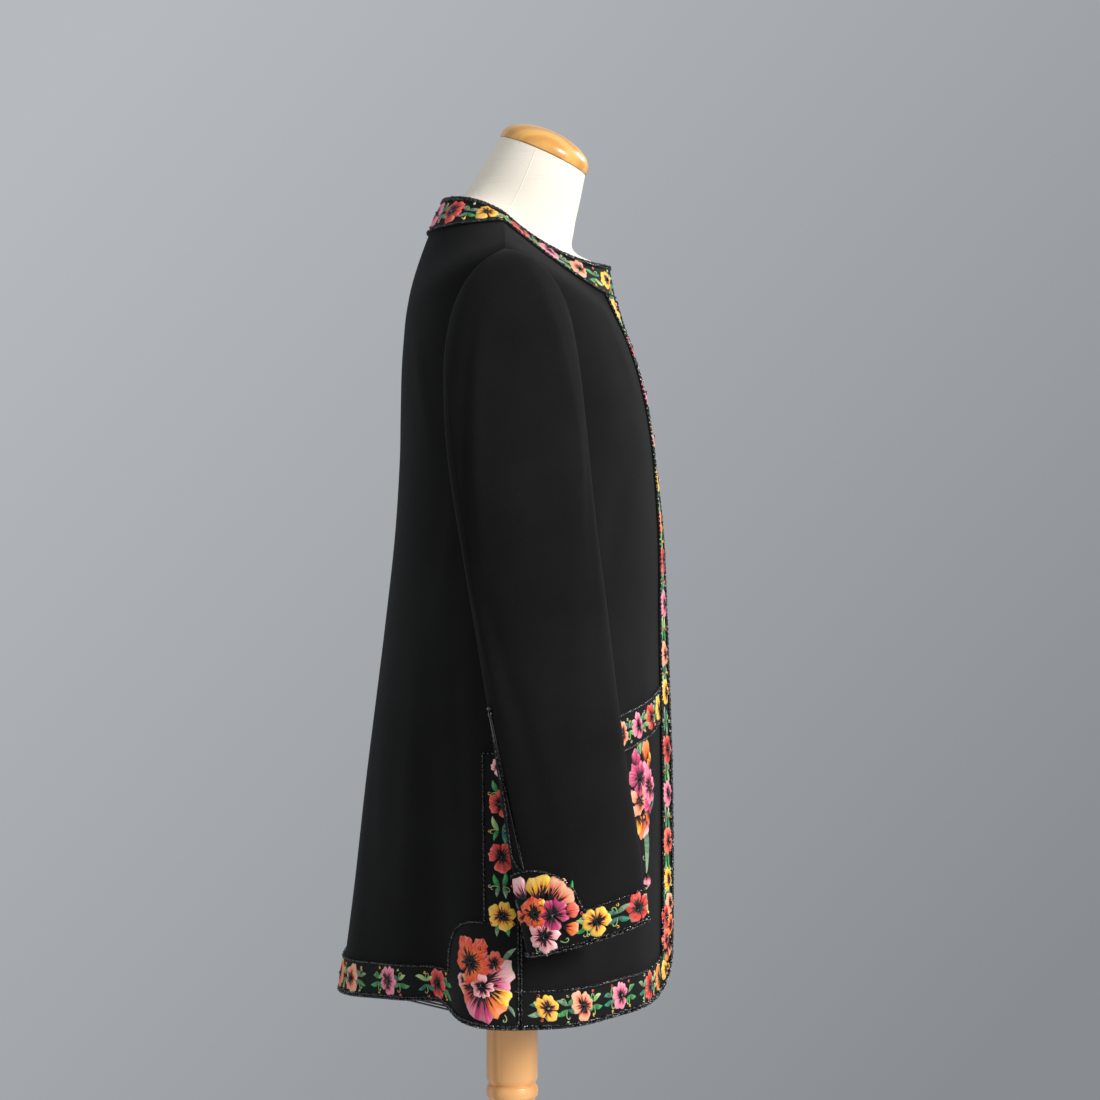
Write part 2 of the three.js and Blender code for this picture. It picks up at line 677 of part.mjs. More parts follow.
const cloth = (sheet, mirrored) => wall(sheet, -WOOL, WOOL, mirrored);
const band = (sheet, mirrored) => wall(sheet, ON_TOP, TRIM, mirrored);
add(jacket, "back", cloth(backSheet), "wool");
add(jacket, "hem_band_back", band(backHemBand), "trim");
add(jacket, "neck_band", band(neckBand), "trim");
for (const [side, mirrored] of [["left", false], ["right", true]]) {
  add(jacket, `front_${side}`, cloth(frontSheet, mirrored), "wool");
  add(jacket, `top_sleeve_${side}`, cloth(topSleeve, mirrored), "wool");
  add(jacket, `under_sleeve_${side}`, cloth(underSleeve, mirrored), "wool");
  add(jacket, `front_band_${side}`, band(frontBand, mirrored), "trim");
  add(jacket, `hem_band_${side}`, band(frontHemBand, mirrored), "trim");
  add(jacket, `vent_band_${side}`, band(ventBand, mirrored), "trim");
  add(jacket, `cuff_band_${side}`, band(cuffBand, mirrored), "trim");
  add(jacket, `pocket_band_${side}`, band(pocketBand, mirrored), "trim");
}

add(form, "form_torso", formTorso(), "cover");
add(form, "pole", pole(), "pole");
add(form, "foot", foot(), "pole");
const cap = add(form, "neck_cap", neckCap(), "cap");
cap.rotation.x = CAP_LEAN;
cap.position.set(0, (capSeat.front + capSeat.back) / 2, (capSeat.zFront + capSeat.zBack) / 2);
cap.translateZ(SEAM);

const part = new THREE.Group();
part.add(form, jacket);
export default part;
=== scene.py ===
import math
import random

import bmesh
import bpy
import numpy as np
from mathutils import Matrix, Vector


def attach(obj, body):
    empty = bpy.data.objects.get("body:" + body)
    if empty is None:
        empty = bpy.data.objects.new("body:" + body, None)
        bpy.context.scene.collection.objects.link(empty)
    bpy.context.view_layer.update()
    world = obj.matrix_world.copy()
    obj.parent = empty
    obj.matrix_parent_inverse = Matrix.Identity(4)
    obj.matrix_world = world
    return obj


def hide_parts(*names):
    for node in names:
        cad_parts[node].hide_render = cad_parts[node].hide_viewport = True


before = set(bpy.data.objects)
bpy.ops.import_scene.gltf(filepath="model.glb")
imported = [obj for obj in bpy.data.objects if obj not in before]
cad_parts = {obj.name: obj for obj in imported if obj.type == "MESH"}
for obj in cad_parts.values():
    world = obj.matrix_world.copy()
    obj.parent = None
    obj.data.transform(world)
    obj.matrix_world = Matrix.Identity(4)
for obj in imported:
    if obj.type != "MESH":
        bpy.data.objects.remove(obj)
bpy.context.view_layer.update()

# The jacket's sizes, in millimetres, as in the part.
MM = 0.001
WOOL = 2.0
TRIM = 1.3
ON_TOP = 0.3
BAND_FACE = ON_TOP + TRIM
SEAM = 0.4
# The side seams, the vents and the armholes are drawn nearly shut, with this gap.
SEAM_SHOWS = 0.12
HEM_Z = 645.0
BAND_WIDE = 35.0
CUFF_BAND_WIDE = 32.0
SCALLOP_R = 60.0
CUFF_ARCH_R = 46.0
VENT_TOP_Z = 885.0
VENT_BAND_WIDE = 33.0
VENT_BAND_TOP_Z = 893.0
FRONT_CORNER_R = 38.0
CENTRE_GAP = 1.0
POCKET = {"from": 44.0, "to": 182.0, "from_z": 946.0, "to_z": 922.0, "tall": 36.0}
LEFT = 1
RIGHT = -1
SIDES = {"left": LEFT, "right": RIGHT}
RIGHT_ANGLE = math.pi / 2
FULL_TURN = 2 * math.pi
# How far either side of a place its slope is measured, as an angle or as a share of a ring.
STEP = 0.004


def table(columns, *rows):
    """A table with named columns, each an array of numbers."""
    return {name: np.array([row[i] for row in rows], float) for i, name in enumerate(columns)}


def bell(f):
    return np.exp(-f * f)


def clamp01(f):
    return np.clip(f, 0, 1)


def mix(a, b, f):
    return a + (b - a) * f


def below(f, last):
    """The whole number below each number, from 0 to last."""
    return np.clip(np.floor(f).astype(int), 0, last)


def smooth(a, b, c, d, f):
    """A place between b and c, on the smooth curve from a to d."""
    return b + 0.5 * f * (c - a + f * (2 * a - 5 * b + 4 * c - d + f * (3 * (b - c) + d - a)))


RING = ("half", "front", "back", "widest", "z_front", "z_side", "z_back", "bend")
BODY = table(
    RING + ("prow",),
    (262, -146, 168, -11, 645, 645, 645, 1, 12),
    (244, -147, 156, -10, 745, 745, 745, 1, 12),
    (225, -147, 144, -8, 860, 860, 860, 1, 11),
    (207, -146, 127, -5, 1000, 1000, 1000, 1, 7),
    (198, -146, 117, -3, 1090, 1090, 1090, 1, 3),
    (194, -141, 112, 0, 1165, 1165, 1165, 1, 0),
    (193, -136, 111, 1, 1205, 1225, 1212, 0.8, 0),
    (192, -129, 110, 2, 1238, 1290, 1255, 0.7, 1),
    (191, -122, 108, 3, 1260, 1335, 1285, 0.65, 2),
    (184, -113, 105, 4, 1285, 1362, 1315, 0.7, 3),
    (142, -104, 98, 5, 1308, 1381, 1350, 0.9, 4),
    (97, -97, 83, 7, 1331, 1397, 1394, 1.3, 5),
    (66, -90, 67, 8, 1363, 1408, 1428, 2, 6),
)
PIT, TIP, COLLAR, NECK = 5, 9, 11, 12
PROW_WIDE = 46.0
# Within this of the centre front, and of a sleeve's head, walls turn to face straight ahead and straight up.
FRONT_TURN = 8.0
HEAD_TURN = 0.6
BUST = {"angle": math.radians(38), "wide": math.radians(17), "z": 1178.0, "tall": 62.0, "out": 9.0}
ARMHOLE = {"front": math.radians(26), "back": math.radians(31)}

# The large folds of the skirt, the same on both sides.
FOLDS = table(
    ("angle", "out", "rise", "wide", "top"),
    (52, -5, 0, 13, 960),
    (74, 4, 0, 11, 930),
    (103, 9, -1, 12, 1010),
    (125, -36, 13, 17, 1120),
    (148, -16, 5, 14, 1060),
    (170, 3, 0, 12, 980),
)
# Softer creases. side is 1 for the left, -1 for the right and 0 for both, lean is how many degrees a crease
# goes round for each 100 mm that it climbs, and tall is half its length.
CREASES = table(
    ("side", "angle", "lean", "out", "wide", "z", "tall"),
    (0, 64, 2, 1.6, 7, 730, 120),
    (0, 40, -2, -1.4, 6, 760, 130),
    (-1, 22, 3, 1.2, 5, 830, 110),
    (1, 27, -3, 1.3, 5, 800, 120),
    (-1, 31, 14, 1.3, 5, 1265, 42),
    (1, 34, 13, 1.1, 5, 1262, 44),
    (0, 47, -9, -1.5, 6, 1120, 60),
    (-1, 58, -6, 1.6, 6, 1050, 80),
    (1, 62, -7, 1.4, 7, 1040, 90),
    (0, 112, 3, -2.2, 5, 850, 130),
    (0, 137, -2, 2.6, 6, 830, 140),
    (-1, 120, -6, 1.8, 5, 1080, 90),
    (1, 118, -7, 1.6, 6, 1070, 80),
    (-1, 160, 3, -2.0, 6, 790, 120),
    (1, 163, 2, -1.8, 6, 780, 120),
    (-1, 140, 12, 1.4, 5, 1240, 50),
    (1, 138, 12, 1.5, 5, 1235, 50),
)

SLEEVE = table(
    ("out_x", "out_z", "under_x", "under_z", "mid_y", "half_y", "rise"),
    (203, 1357, 200, 1160, -1, 60, 0),
    (222, 1341, 203, 1148, -2, 62.5, 0),
    (237, 1311, 205, 1132, -4, 64, 0),
    (247, 1266, 207, 1108, -7, 65, 2),
    (254, 1205, 210, 1078, -12, 64, 4),
    (261, 1130, 215, 1035, -20, 62, 6),
    (268, 1045, 219, 985, -30, 60.5, 8),
    (276, 955, 226, 920, -41, 58.5, 10),
    (285, 870, 235, 850, -52, 57.5, 12),
    (295, 797, 246, 787, -63, 57, 14),
    (304, 728, 257, 733, -72, 53, 16),
)
CUFF = 11
# The creases of a sleeve. turn is how many degrees a crease goes round for each ring that it descends, and
# long is half its length in rings.
SLEEVE_CREASES = table(
    ("side", "angle", "turn", "out", "wide", "ring", "long"),
    (0, -38, -9, 2.4, 9, 4.6, 1.5),
    (0, -58, -10, -2.2, 8, 5.3, 1.3),
    (-1, -66, 12, 2.0, 9, 7.2, 1.0),
    (1, -62, 14, 2.2, 9, 6.9, 1.1),
    (0, -40, 16, -1.6, 9, 7.9, 1.0),
    (-1, 38, 11, 1.8, 10, 3.6, 1.4),
    (1, 42, 10, 1.9, 10, 3.4, 1.3),
    (0, 66, -8, -1.8, 9, 5.6, 1.6),
    (0, 30, -7, 1.3, 12, 7.0, 1.8),
    (-1, -12, 6, 1.1, 12, 9.0, 1.2),
    (1, -8, 7, 1.2, 12, 8.8, 1.3),
    (0, 118, -12, 2.0, 10, 5.0, 1.4),
    (0, 216, 9, 1.8, 11, 6.4, 1.5),
    (0, -20, 0, -1.6, 16, 2.1, 0.9),
)


def curve_at(values, v):
    """A value between the rows of a table, on a smooth curve through them."""
    last = len(values) - 1
    i = below(v, last - 1)
    b = values[i]
    c = values[i + 1]
    a = np.where(i > 0, values[np.maximum(i - 1, 0)], 2 * b - c)
    d = np.where(i < last - 1, values[np.minimum(i + 2, last)], 2 * c - b)
    return smooth(a, b, c, d, v - i)


def row_at(rows, v):
    return {name: curve_at(values, v) for name, values in rows.items()}


def rows_of(columns):
    """A table's rows, one at a time."""
    for values in zip(*columns.values()):
        yield dict(zip(columns, values))


def unit(p):
    return p / np.maximum(np.linalg.norm(p, axis=-1, keepdims=True), 1e-9)


def raised(point, normal, height, side):
    """A point moved out along its normal, on the left or turned over to the right."""
    point = point + unit(normal) * np.asarray(height)[..., None]
    point[..., 0] *= side
    return point


def ring_point(ring, t):
    """A point at angle t of a ring, where 0 is the centre front and a right angle the left side."""
    cos = np.cos(t)
    ahead = cos > 0
    reach = np.where(ahead, ring["widest"] - ring["front"], ring["back"] - ring["widest"])
    lift = np.maximum(1 - np.abs(cos), 0) ** ring["bend"]
    z = mix(np.where(ahead, ring["z_front"], ring["z_back"]), ring["z_side"], lift)
    return ring["half"] * np.sin(t), ring["widest"] - reach * cos, z


def body_point(t, v, side):
    """A point on the outside of the jacket's left half, with the creases of the side it is for."""
    t, v, side = np.broadcast_arrays(t, v, side)
    ring = row_at(BODY, v)
    x, y, z = ring_point(ring, t)
    ahead = t < RIGHT_ANGLE
    y = y - np.where(ahead, ring["prow"] * clamp01(1 - np.abs(x) / PROW_WIDE) ** 1.5, 0)
    bust = BUST["out"] * bell((t - BUST["angle"]) / BUST["wide"]) * bell((z - BUST["z"]) / BUST["tall"])
    y = y - np.where(ahead, bust, 0)
    out_x = x / ring["half"] ** 2
    out_y = (y - ring["widest"]) / ring["back"] ** 2
    size = np.maximum(np.hypot(out_x, out_y), 1e-12)
    degrees = np.degrees(t)
    far = np.zeros_like(x)
    rise = np.zeros_like(x)
    for fold in rows_of(FOLDS):
        fade = clamp01((fold["top"] - z) / (fold["top"] - HEM_Z)) ** 1.6
        share = fade * bell((degrees - fold["angle"]) / fold["wide"])
        far += fold["out"] * share
        rise += fold["rise"] * share
    for crease in rows_of(CREASES):
        centre = crease["angle"] + crease["lean"] * (z - crease["z"]) / 100
        share = bell((degrees - centre) / crease["wide"]) * bell((z - crease["z"]) / crease["tall"])
        far += np.where(crease["side"] * side >= 0, crease["out"] * share, 0)
    return np.stack([x + out_x / size * far, y + out_y / size * far, z + rise], axis=-1)


def body_spot(t, v, side, height):
    """A point that far outside the jacket's body, on the left or the right."""
    t, v, side = np.broadcast_arrays(np.asarray(t, float), np.asarray(v, float), side)
    here = body_point(t, v, side)
    across = body_point(t + STEP, v, side) - body_point(np.maximum(t - STEP, 0), v, side)
    up = body_point(t, v + STEP, side) - body_point(t, v - STEP, side)
    normal = np.cross(across, up)
    normal[..., 0] *= np.where(t < RIGHT_ANGLE, clamp01(here[..., 0] / FRONT_TURN), 1)
    return raised(here, normal, height, side)


ARMHOLE_MID_Z = (BODY["z_side"][PIT] + BODY["z_side"][TIP]) / 2
ARMHOLE_HALF_Z = (BODY["z_side"][TIP] - BODY["z_side"][PIT]) / 2
ARMHOLE_RINGS = np.linspace(PIT, TIP, 400)
ARMHOLE_HEIGHTS = curve_at(BODY["z_side"], ARMHOLE_RINGS)


def armhole_share(v):
    """How far the armhole opens at a ring, from 0 at its ends to 1."""
    up = (curve_at(BODY["z_side"], v) - ARMHOLE_MID_Z) / ARMHOLE_HALF_Z
    return np.where((v < PIT) | (v > TIP), 0, np.sqrt(np.maximum(0, 1 - up * up)))


def sleeve_ring(k, phi):
    """Ring k of the left sleeve, which is the edge of the armhole at 0."""
    z = ARMHOLE_MID_Z + ARMHOLE_HALF_Z * np.cos(phi)
    ahead = np.sin(phi)
    wide = np.where(ahead > 0, ARMHOLE["front"], ARMHOLE["back"])
    edge = body_point(RIGHT_ANGLE - wide * ahead, np.interp(z, ARMHOLE_HEIGHTS, ARMHOLE_RINGS), 0)
    edge[..., 0] += SEAM_SHOWS
    row = {name: values[np.clip(k - 1, 0, CUFF - 1)] for name, values in SLEEVE.items()}
    cos = np.cos(phi)
    sin = np.sin(phi)
    x = (row["out_x"] + row["under_x"]) / 2 + (row["out_x"] - row["under_x"]) / 2 * cos
    y = row["mid_y"] - row["half_y"] * sin
    z = (row["out_z"] + row["under_z"]) / 2 + (row["out_z"] - row["under_z"]) / 2 * cos + row["rise"] * sin
    return np.where((k <= 0)[..., None], edge, np.stack([x, y, z], axis=-1))


def sleeve_point(phi, k, side):
    """A point on the outside of the left sleeve, at ring k of 0 to CUFF."""
    phi, k, side = np.broadcast_arrays(phi, k, side)
    i = below(k, CUFF - 1)
    f = (k - i)[..., None]
    b = sleeve_ring(i, phi)
    c = sleeve_ring(i + 1, phi)
    a = np.where((i > 0)[..., None], sleeve_ring(i - 1, phi), 2 * b - c)
    d = np.where((i < CUFF - 1)[..., None], sleeve_ring(np.minimum(i + 2, CUFF), phi), 2 * c - b)
    point = smooth(a, b, c, d, f)
    degrees = np.degrees(phi)
    far = np.zeros_like(k)
    for crease in rows_of(SLEEVE_CREASES):
        centre = crease["angle"] + crease["turn"] * (k - crease["ring"])
        off = (degrees - centre + 180) % 360 - 180
        share = bell(off / crease["wide"]) * bell((k - crease["ring"]) / crease["long"])
        far = far + np.where(crease["side"] * side >= 0, crease["out"] * share, 0)
    far = far * clamp01(k / 1.5)
    point[..., 0] += far * np.cos(phi)
    point[..., 1] -= far * np.sin(phi)
    return point


def sleeve_spot(phi, k, side, height):
    """A point that far outside the left or the right sleeve."""
    phi, k, side = np.broadcast_arrays(np.asarray(phi, float), np.asarray(k, float), side)
    inside = np.clip(k, 0.02, CUFF - 0.02)
    around = sleeve_point(phi + STEP, inside, side) - sleeve_point(phi - STEP, inside, side)
    down = sleeve_point(phi, inside + STEP, side) - sleeve_point(phi, inside - STEP, side)
    normal = unit(np.cross(around, down))
    normal[..., 0] *= clamp01(k / HEAD_TURN)
    return raised(sleeve_point(phi, k, side), normal, height, side)


def front_edge_x(z):
    """How far the front edge stands back from the centre line, with the round of its lower corner."""
    under = np.clip(FRONT_CORNER_R - (z - HEM_Z), 0, FRONT_CORNER_R)
    return CENTRE_GAP + FRONT_CORNER_R - np.sqrt(FRONT_CORNER_R**2 - under**2)


def front_edge_angle(v):
    return np.arcsin(front_edge_x(curve_at(BODY["z_front"], v)) / curve_at(BODY["half"], v))


def front_side_angle(v):
    """Where a front ends at the side seam, the vent or the armhole."""
    ring = row_at(BODY, v)
    gap = SEAM_SHOWS / 2 / (ring["widest"] - ring["front"])
    return RIGHT_ANGLE - ARMHOLE["front"] * armhole_share(v) - gap


def back_side_angle(v):
    ring = row_at(BODY, v)
    gap = SEAM_SHOWS / 2 / (ring["back"] - ring["widest"])
    return RIGHT_ANGLE + ARMHOLE["back"] * armhole_share(v) + gap


RULER_RINGS = np.linspace(0, NECK, 241)
LEVEL_RINGS = np.linspace(0, NECK, 1201)
FRONT_HEIGHTS = curve_at(BODY["z_front"], LEVEL_RINGS)


def ring_at(z):
    """The ring whose centre front is at that height."""
    return np.interp(z, FRONT_HEIGHTS, LEVEL_RINGS)


class Ruler:
    """Turns a length of cloth along a ring into an angle, from a first to a last angle."""

    def __init__(self, first, last, point, rings):
        self.rings = rings
        share = np.linspace(0, 1, 161)
        self.angles = mix(first(rings)[:, None], last(rings)[:, None], share[None, :])
        line = point(self.angles, rings[:, None])
        steps = np.linalg.norm(np.diff(line, axis=1), axis=-1)
        self.lengths = np.concatenate([np.zeros((len(rings), 1)), np.cumsum(steps, axis=1)], axis=1)

    def angle(self, along, ring):
        """The angle at that length along a ring, going on straight beyond either end."""
        along, ring = np.broadcast_arrays(np.asarray(along, float), np.asarray(ring, float))
        scaled = np.interp(ring, self.rings, np.arange(len(self.rings)))
        low = below(scaled, len(self.rings) - 2)
        found = [self.on_row(along, low), self.on_row(along, low + 1)]
        return mix(found[0], found[1], scaled - low)

    def full(self, ring):
        """The length of a ring from the first angle to the last."""
        return np.interp(ring, self.rings, self.lengths[:, -1])

    def fitted(self, along, ring, whole):
        """The angle at that length, stretched towards the far end so that whole is always the last angle."""
        return self.angle(along * mix(1, self.full(ring) / whole, clamp01(along / whole)), ring)

    def on_row(self, along, row):
        result = np.empty(along.shape)
        for n in np.unique(row):
            chosen = row == n
            lengths = self.lengths[n]
            angles = self.angles[n]
            a = along[chosen]
            inside = np.interp(a, lengths, angles)
            before = np.minimum(a, 0) * (angles[1] - angles[0]) / max(lengths[1], 1e-6)
            beyond = np.maximum(a - lengths[-1], 0) * (angles[-1] - angles[-2])
            result[chosen] = inside + before + beyond / max(lengths[-1] - lengths[-2], 1e-6)
        return result


def smooth_body(t, v):
    return body_point(t, v, 0)


def centre_front(v):
    return np.zeros(v.shape)


def centre_back(v):
    return np.full(v.shape, math.pi)


front_ruler = Ruler(centre_front, front_side_angle, smooth_body, RULER_RINGS)
back_ruler = Ruler(back_side_angle, centre_back, smooth_body, RULER_RINGS)
neck_ruler = Ruler(centre_front, centre_back, smooth_body, np.linspace(10, NECK, 41))
BACK_HALF = back_ruler.full(np.array([0.0]))[0]
NECK_HALF = neck_ruler.full(np.array([COLLAR + 0.5]))[0]

# On a sleeve, lengths start at the middle of the arch, on the back of the sleeve, and at the cuff's edge.
ARCH_ANGLE = math.radians(-54)
SLEEVE_RINGS = np.linspace(0, CUFF, 221)


def sleeve_ruler(way):
    return Ruler(
        lambda k: np.full(k.shape, ARCH_ANGLE),
        lambda k: np.full(k.shape, ARCH_ANGLE + way * math.pi),
        lambda phi, k: sleeve_point(phi, k, 0),
        SLEEVE_RINGS,
    )


ahead_ruler = sleeve_ruler(1)
behind_ruler = sleeve_ruler(-1)
CUFF_AHEAD = ahead_ruler.full(np.array([float(CUFF)]))[0]
CUFF_BEHIND = behind_ruler.full(np.array([float(CUFF)]))[0]
LINE_DEGREES = 6
CUFF_LINES = np.radians(np.arange(0, 361, LINE_DEGREES))
cuff_lines = sleeve_point(CUFF_LINES[:, None], SLEEVE_RINGS[None, ::-1], 0)
cuff_steps = np.linalg.norm(np.diff(cuff_lines, axis=1), axis=-1)
CUFF_RISE = np.concatenate([np.zeros((len(CUFF_LINES), 1)), np.cumsum(cuff_steps, axis=1)], axis=1)
# Two rings of the sleeve are about this far apart.
RING_LONG = 70.0


def cuff_ring(phi, up):
    """The ring of the sleeve at that length of cloth above the cuff's edge."""
    line = np.degrees(phi) % 360 / LINE_DEGREES
    low = below(line, len(CUFF_LINES) - 2)
    result = np.empty(up.shape)
    for n in np.unique(low):
        chosen = low == n
        near = np.interp(up[chosen], CUFF_RISE[n], SLEEVE_RINGS[::-1])
        far = np.interp(up[chosen], CUFF_RISE[n + 1], SLEEVE_RINGS[::-1])
        result[chosen] = mix(near, far, line[chosen] - n)
    return result - np.minimum(up, 0) / RING_LONG


def on_front(side):
    """Where on a front panel: along from the centre front, z up from the floor."""

    def place(along, z, height):
        ring = ring_at(z)
        return body_spot(front_ruler.angle(along, ring), ring, side, height)

    return place


def on_back(along, z, height):
    """Where on the back panel: along from the left side seam, or less than nought from the right one."""
    ring = ring_at(z)
    angle = back_ruler.fitted(np.abs(along), ring, BACK_HALF)
    return body_spot(angle, ring, np.where(along >= 0, LEFT, RIGHT), height)


def on_neck(side):
    """Where on the neck band: along from the centre front, up from the band's outer edge."""

    def place(along, up, height):
        ring = COLLAR + np.asarray(up, float) / BAND_WIDE
        share = neck_ruler.full(ring) / NECK_HALF
        return body_spot(neck_ruler.angle(along * share, ring), ring, side, height)

    return place


def on_sleeve(side):
    """Where on a sleeve: along either way from the middle of the arch, up from the cuff's edge."""

    def place(along, up, height):
        along, up = np.broadcast_arrays(np.asarray(along, float), np.asarray(up, float))
        ring = np.clip(CUFF - up / RING_LONG, 0, CUFF)
        for _ in range(2):
            ahead = ahead_ruler.fitted(np.maximum(along, 0), ring, CUFF_AHEAD)
            behind = behind_ruler.fitted(np.maximum(-along, 0), ring, CUFF_BEHIND)
            phi = np.where(along >= 0, ahead, behind)
            ring = cuff_ring(phi, up)
        return sleeve_spot(phi, ring, side, height)

    return place


# The looks.
class Shader:
    """One value in a material, so that values can be added, multiplied and so on."""

    def __init__(self, finish, socket):
        self.finish = finish
        self.socket = socket

    def math(self, operation, *others):
        return self.finish.node("ShaderNodeMath", {"operation": operation}, [self, *others])

    def __add__(self, other):
        return self.math("ADD", other)

    def __sub__(self, other):
        return self.math("SUBTRACT", other)

    def __mul__(self, other):
        return self.math("MULTIPLY", other)

    def __rsub__(self, other):
        return self.finish.node("ShaderNodeMath", {"operation": "SUBTRACT"}, [other, self])

    __radd__ = __add__
    __rmul__ = __mul__


class Finish:
    """A material for one of the part's finishes, or the look of the room."""

    def __init__(self, owner, kind="BSDF_PRINCIPLED"):
        owner.use_nodes = True
        self.owner = owner
        self.tree = owner.node_tree
        self.surface = next(n for n in self.tree.nodes if n.type == kind)

    def node(self, kind, settings=None, values=(), output=0):
        """A node of that kind, with its settings, then the values or links of its sockets, in a list or by
        name. It gives the value of one output, or a list of them for several outputs."""
        made = self.tree.nodes.new(kind)
        for name, value in (settings or {}).items():
            setattr(made, name, value)
        pairs = values.items() if isinstance(values, dict) else enumerate(values)
        for name, value in pairs:
            self.put(made.inputs[name], value)
        if isinstance(output, tuple):
            return [Shader(self, made.outputs[i]) for i in output]
        return Shader(self, made.outputs[output])

    def put(self, socket, value):
        if isinstance(value, Shader):
            self.tree.links.new(value.socket, socket)
        else:
            socket.default_value = value

    def give(self, **values):
        """Sets or links sockets of the surface, such as base_color."""
        for name, value in values.items():
            self.put(self.surface.inputs[name.replace("_", " ").title().replace("Ior", "IOR")], value)

    def object_place(self):
        return self.node("ShaderNodeTexCoord", output=3)

    def attribute(self, name, output=1):
        return self.node("ShaderNodeAttribute", {"attribute_name": name}, output=output)

    def stretched(self, place, scale, lean=0.0):
        values = {"Vector": place, "Rotation": (lean, 0, 0), "Scale": scale}
        return self.node("ShaderNodeMapping", {"vector_type": "POINT"}, values)

    def noise(self, place, scale, detail=2.0, roughness=0.5):
        values = {"Vector": place, "Scale": scale, "Detail": detail, "Roughness": roughness}
        return self.node("ShaderNodeTexNoise", {}, values)

    def speck(self, place, scale):
        """How far a place is from the nearest of many scattered spots."""
        return self.node("ShaderNodeTexVoronoi", {}, {"Vector": place, "Scale": scale})

    def ease(self, value, low, high, start=0.0, end=1.0):
        """Climbs smoothly from start to end while value goes from low to high."""
        settings = {"interpolation_type": "SMOOTHSTEP"}
        return self.node("ShaderNodeMapRange", settings, [value, low, high, start, end])

    def blend(self, factor, a, b):
        """The colour a, turning into the colour b as factor goes from 0 to 1."""
        values = {0: factor, 6: colour(a), 7: colour(b)}
        return self.node("ShaderNodeMix", {"data_type": "RGBA", "clamp_factor": True}, values, output=2)

    def bumped(self, height, distance, strength):
        values = {"Height": height, "Distance": distance, "Strength": strength}
        return self.node("ShaderNodeBump", {}, values)

    def split(self, vector):
        return self.node("ShaderNodeSeparateXYZ", {}, [vector], output=(0, 1, 2))

    def chance(self, number):
        """A number from 0 to 1 for each whole number."""
        return self.node("ShaderNodeTexWhiteNoise", {"noise_dimensions": "1D"}, {"W": number})


def colour(c):
    """A colour with its alpha, or a link as it is."""
    return c if isinstance(c, Shader) else (*c, 1.0)


def linear(red, green, blue):
    """A colour given from 0 to 255, as the amounts of light that shaders use."""
    shares = [c / 255 for c in (red, green, blue)]
    return tuple(c / 12.92 if c <= 0.04 else ((c + 0.055) / 1.055) ** 2.4 for c in shares)


def make_wool():
    """Near-black fulled wool: a fine twill under a short nap, with a little lint and a faint bloom."""
    wool = Finish(bpy.data.materials.new("wool_cloth"))
    place = wool.object_place()
    x, y, _ = wool.split(wool.attribute("cloth"))
    rib = ((x + y * 1.6) * 5200).math("SINE") * 0.5 + 0.5
    thread = ((x * 1.6 - y) * 6100).math("SINE") * 0.5 + 0.5
    nap = wool.noise(wool.stretched(place, (1, 1, 0.45)), 900, 4, 0.7)
    drift = wool.noise(place, 7, 3, 0.6)
    shade = wool.ease(drift, 0.3, 0.75)
    dark = wool.blend(shade, (0.0060, 0.0059, 0.0059), (0.0096, 0.0095, 0.0094))
    fuzz = wool.blend(wool.ease(nap, 0.5, 0.8) * 0.5, dark, (0.019, 0.0187, 0.0185))
    spot = wool.speck(place, 58)
    lint = wool.ease(spot, 0.0, 0.028, 1.0, 0.0)
    wool.give(
        base_color=wool.blend(lint * 0.4, fuzz, (0.10, 0.095, 0.09)),
        roughness=wool.ease(nap, 0.2, 0.8, 0.82, 0.97),
        normal=wool.bumped(rib * 0.4 + thread * 0.25 + nap * 1.3, 0.00022, 0.55),
        sheen_weight=0.035,
        sheen_roughness=0.4,
        sheen_tint=(0.80, 0.79, 0.82, 1),
        specular_ior_level=0.08,
    )
    return wool.owner


def make_band_cloth():
    """The smooth black facing under the embroidery, a plain weave with a slight sheen."""
    band = Finish(bpy.data.materials.new("band_cloth"))
    x, y, _ = band.split(band.attribute("cloth"))
    weave = (x * 8200).math("SINE") * (y * 8200).math("SINE")
    worn = band.noise(band.object_place(), 40, 3, 0.6)
    band.give(
        base_color=band.blend(band.ease(worn, 0.35, 0.75), (0.0035, 0.0035, 0.004), (0.007, 0.007, 0.0075)),
        roughness=band.ease(worn, 0.2, 0.8, 0.62, 0.8),
        normal=band.bumped(weave * 0.5 + worn, 0.00014, 0.5),
        sheen_weight=0.03,
        sheen_roughness=0.4,
        specular_ior_level=0.12,
    )
    return band.owner


def make_floss():
    """Satin stitches of shiny floss. Each differs a little, and runs from the dark heart to the pale edge."""
    floss = Finish(bpy.data.materials.new("floss"))
    stripe, along, kind = floss.split(floss.attribute("stitch"))
    stitch = floss.chance(stripe.math("FLOOR"))
    second = floss.chance(stripe.math("FLOOR") + 0.37)
    petal = 1 - kind
    reach = along + (stitch - 0.5) * 0.38
    dyed = floss.blend(floss.ease(reach, 0.38, 0.74), floss.attribute("heart", 0), floss.attribute("edge", 0))
    pale = floss.blend(floss.ease(reach, 0.78, 1.05) * 0.28 * petal, dyed, (1.0, 0.90, 0.78))
    uneven = floss.blend(stitch * 0.4, pale, floss.attribute("heart", 0))
    lit = floss.blend(second * 0.06, uneven, (1.0, 0.96, 0.90))
    eye = floss.ease(reach, 0.34, 0.45, 1.0, 0.0) * petal
    parting = floss.ease(floss.attribute("heart", 3), 0.80, 0.97) * petal * 0.82
    thread = (stripe * math.pi).math("SINE").math("ABSOLUTE")
    floss.give(
        base_color=floss.blend(parting.math("MAXIMUM", eye), lit, (0.006, 0.005, 0.006)),
        roughness=floss.ease(second, 0.0, 1.0, 0.34, 0.5),
        normal=floss.bumped(thread, 0.00018, 0.7),
        sheen_weight=0.04,
        sheen_roughness=0.35,
        specular_ior_level=0.3,
    )
    return floss.owner


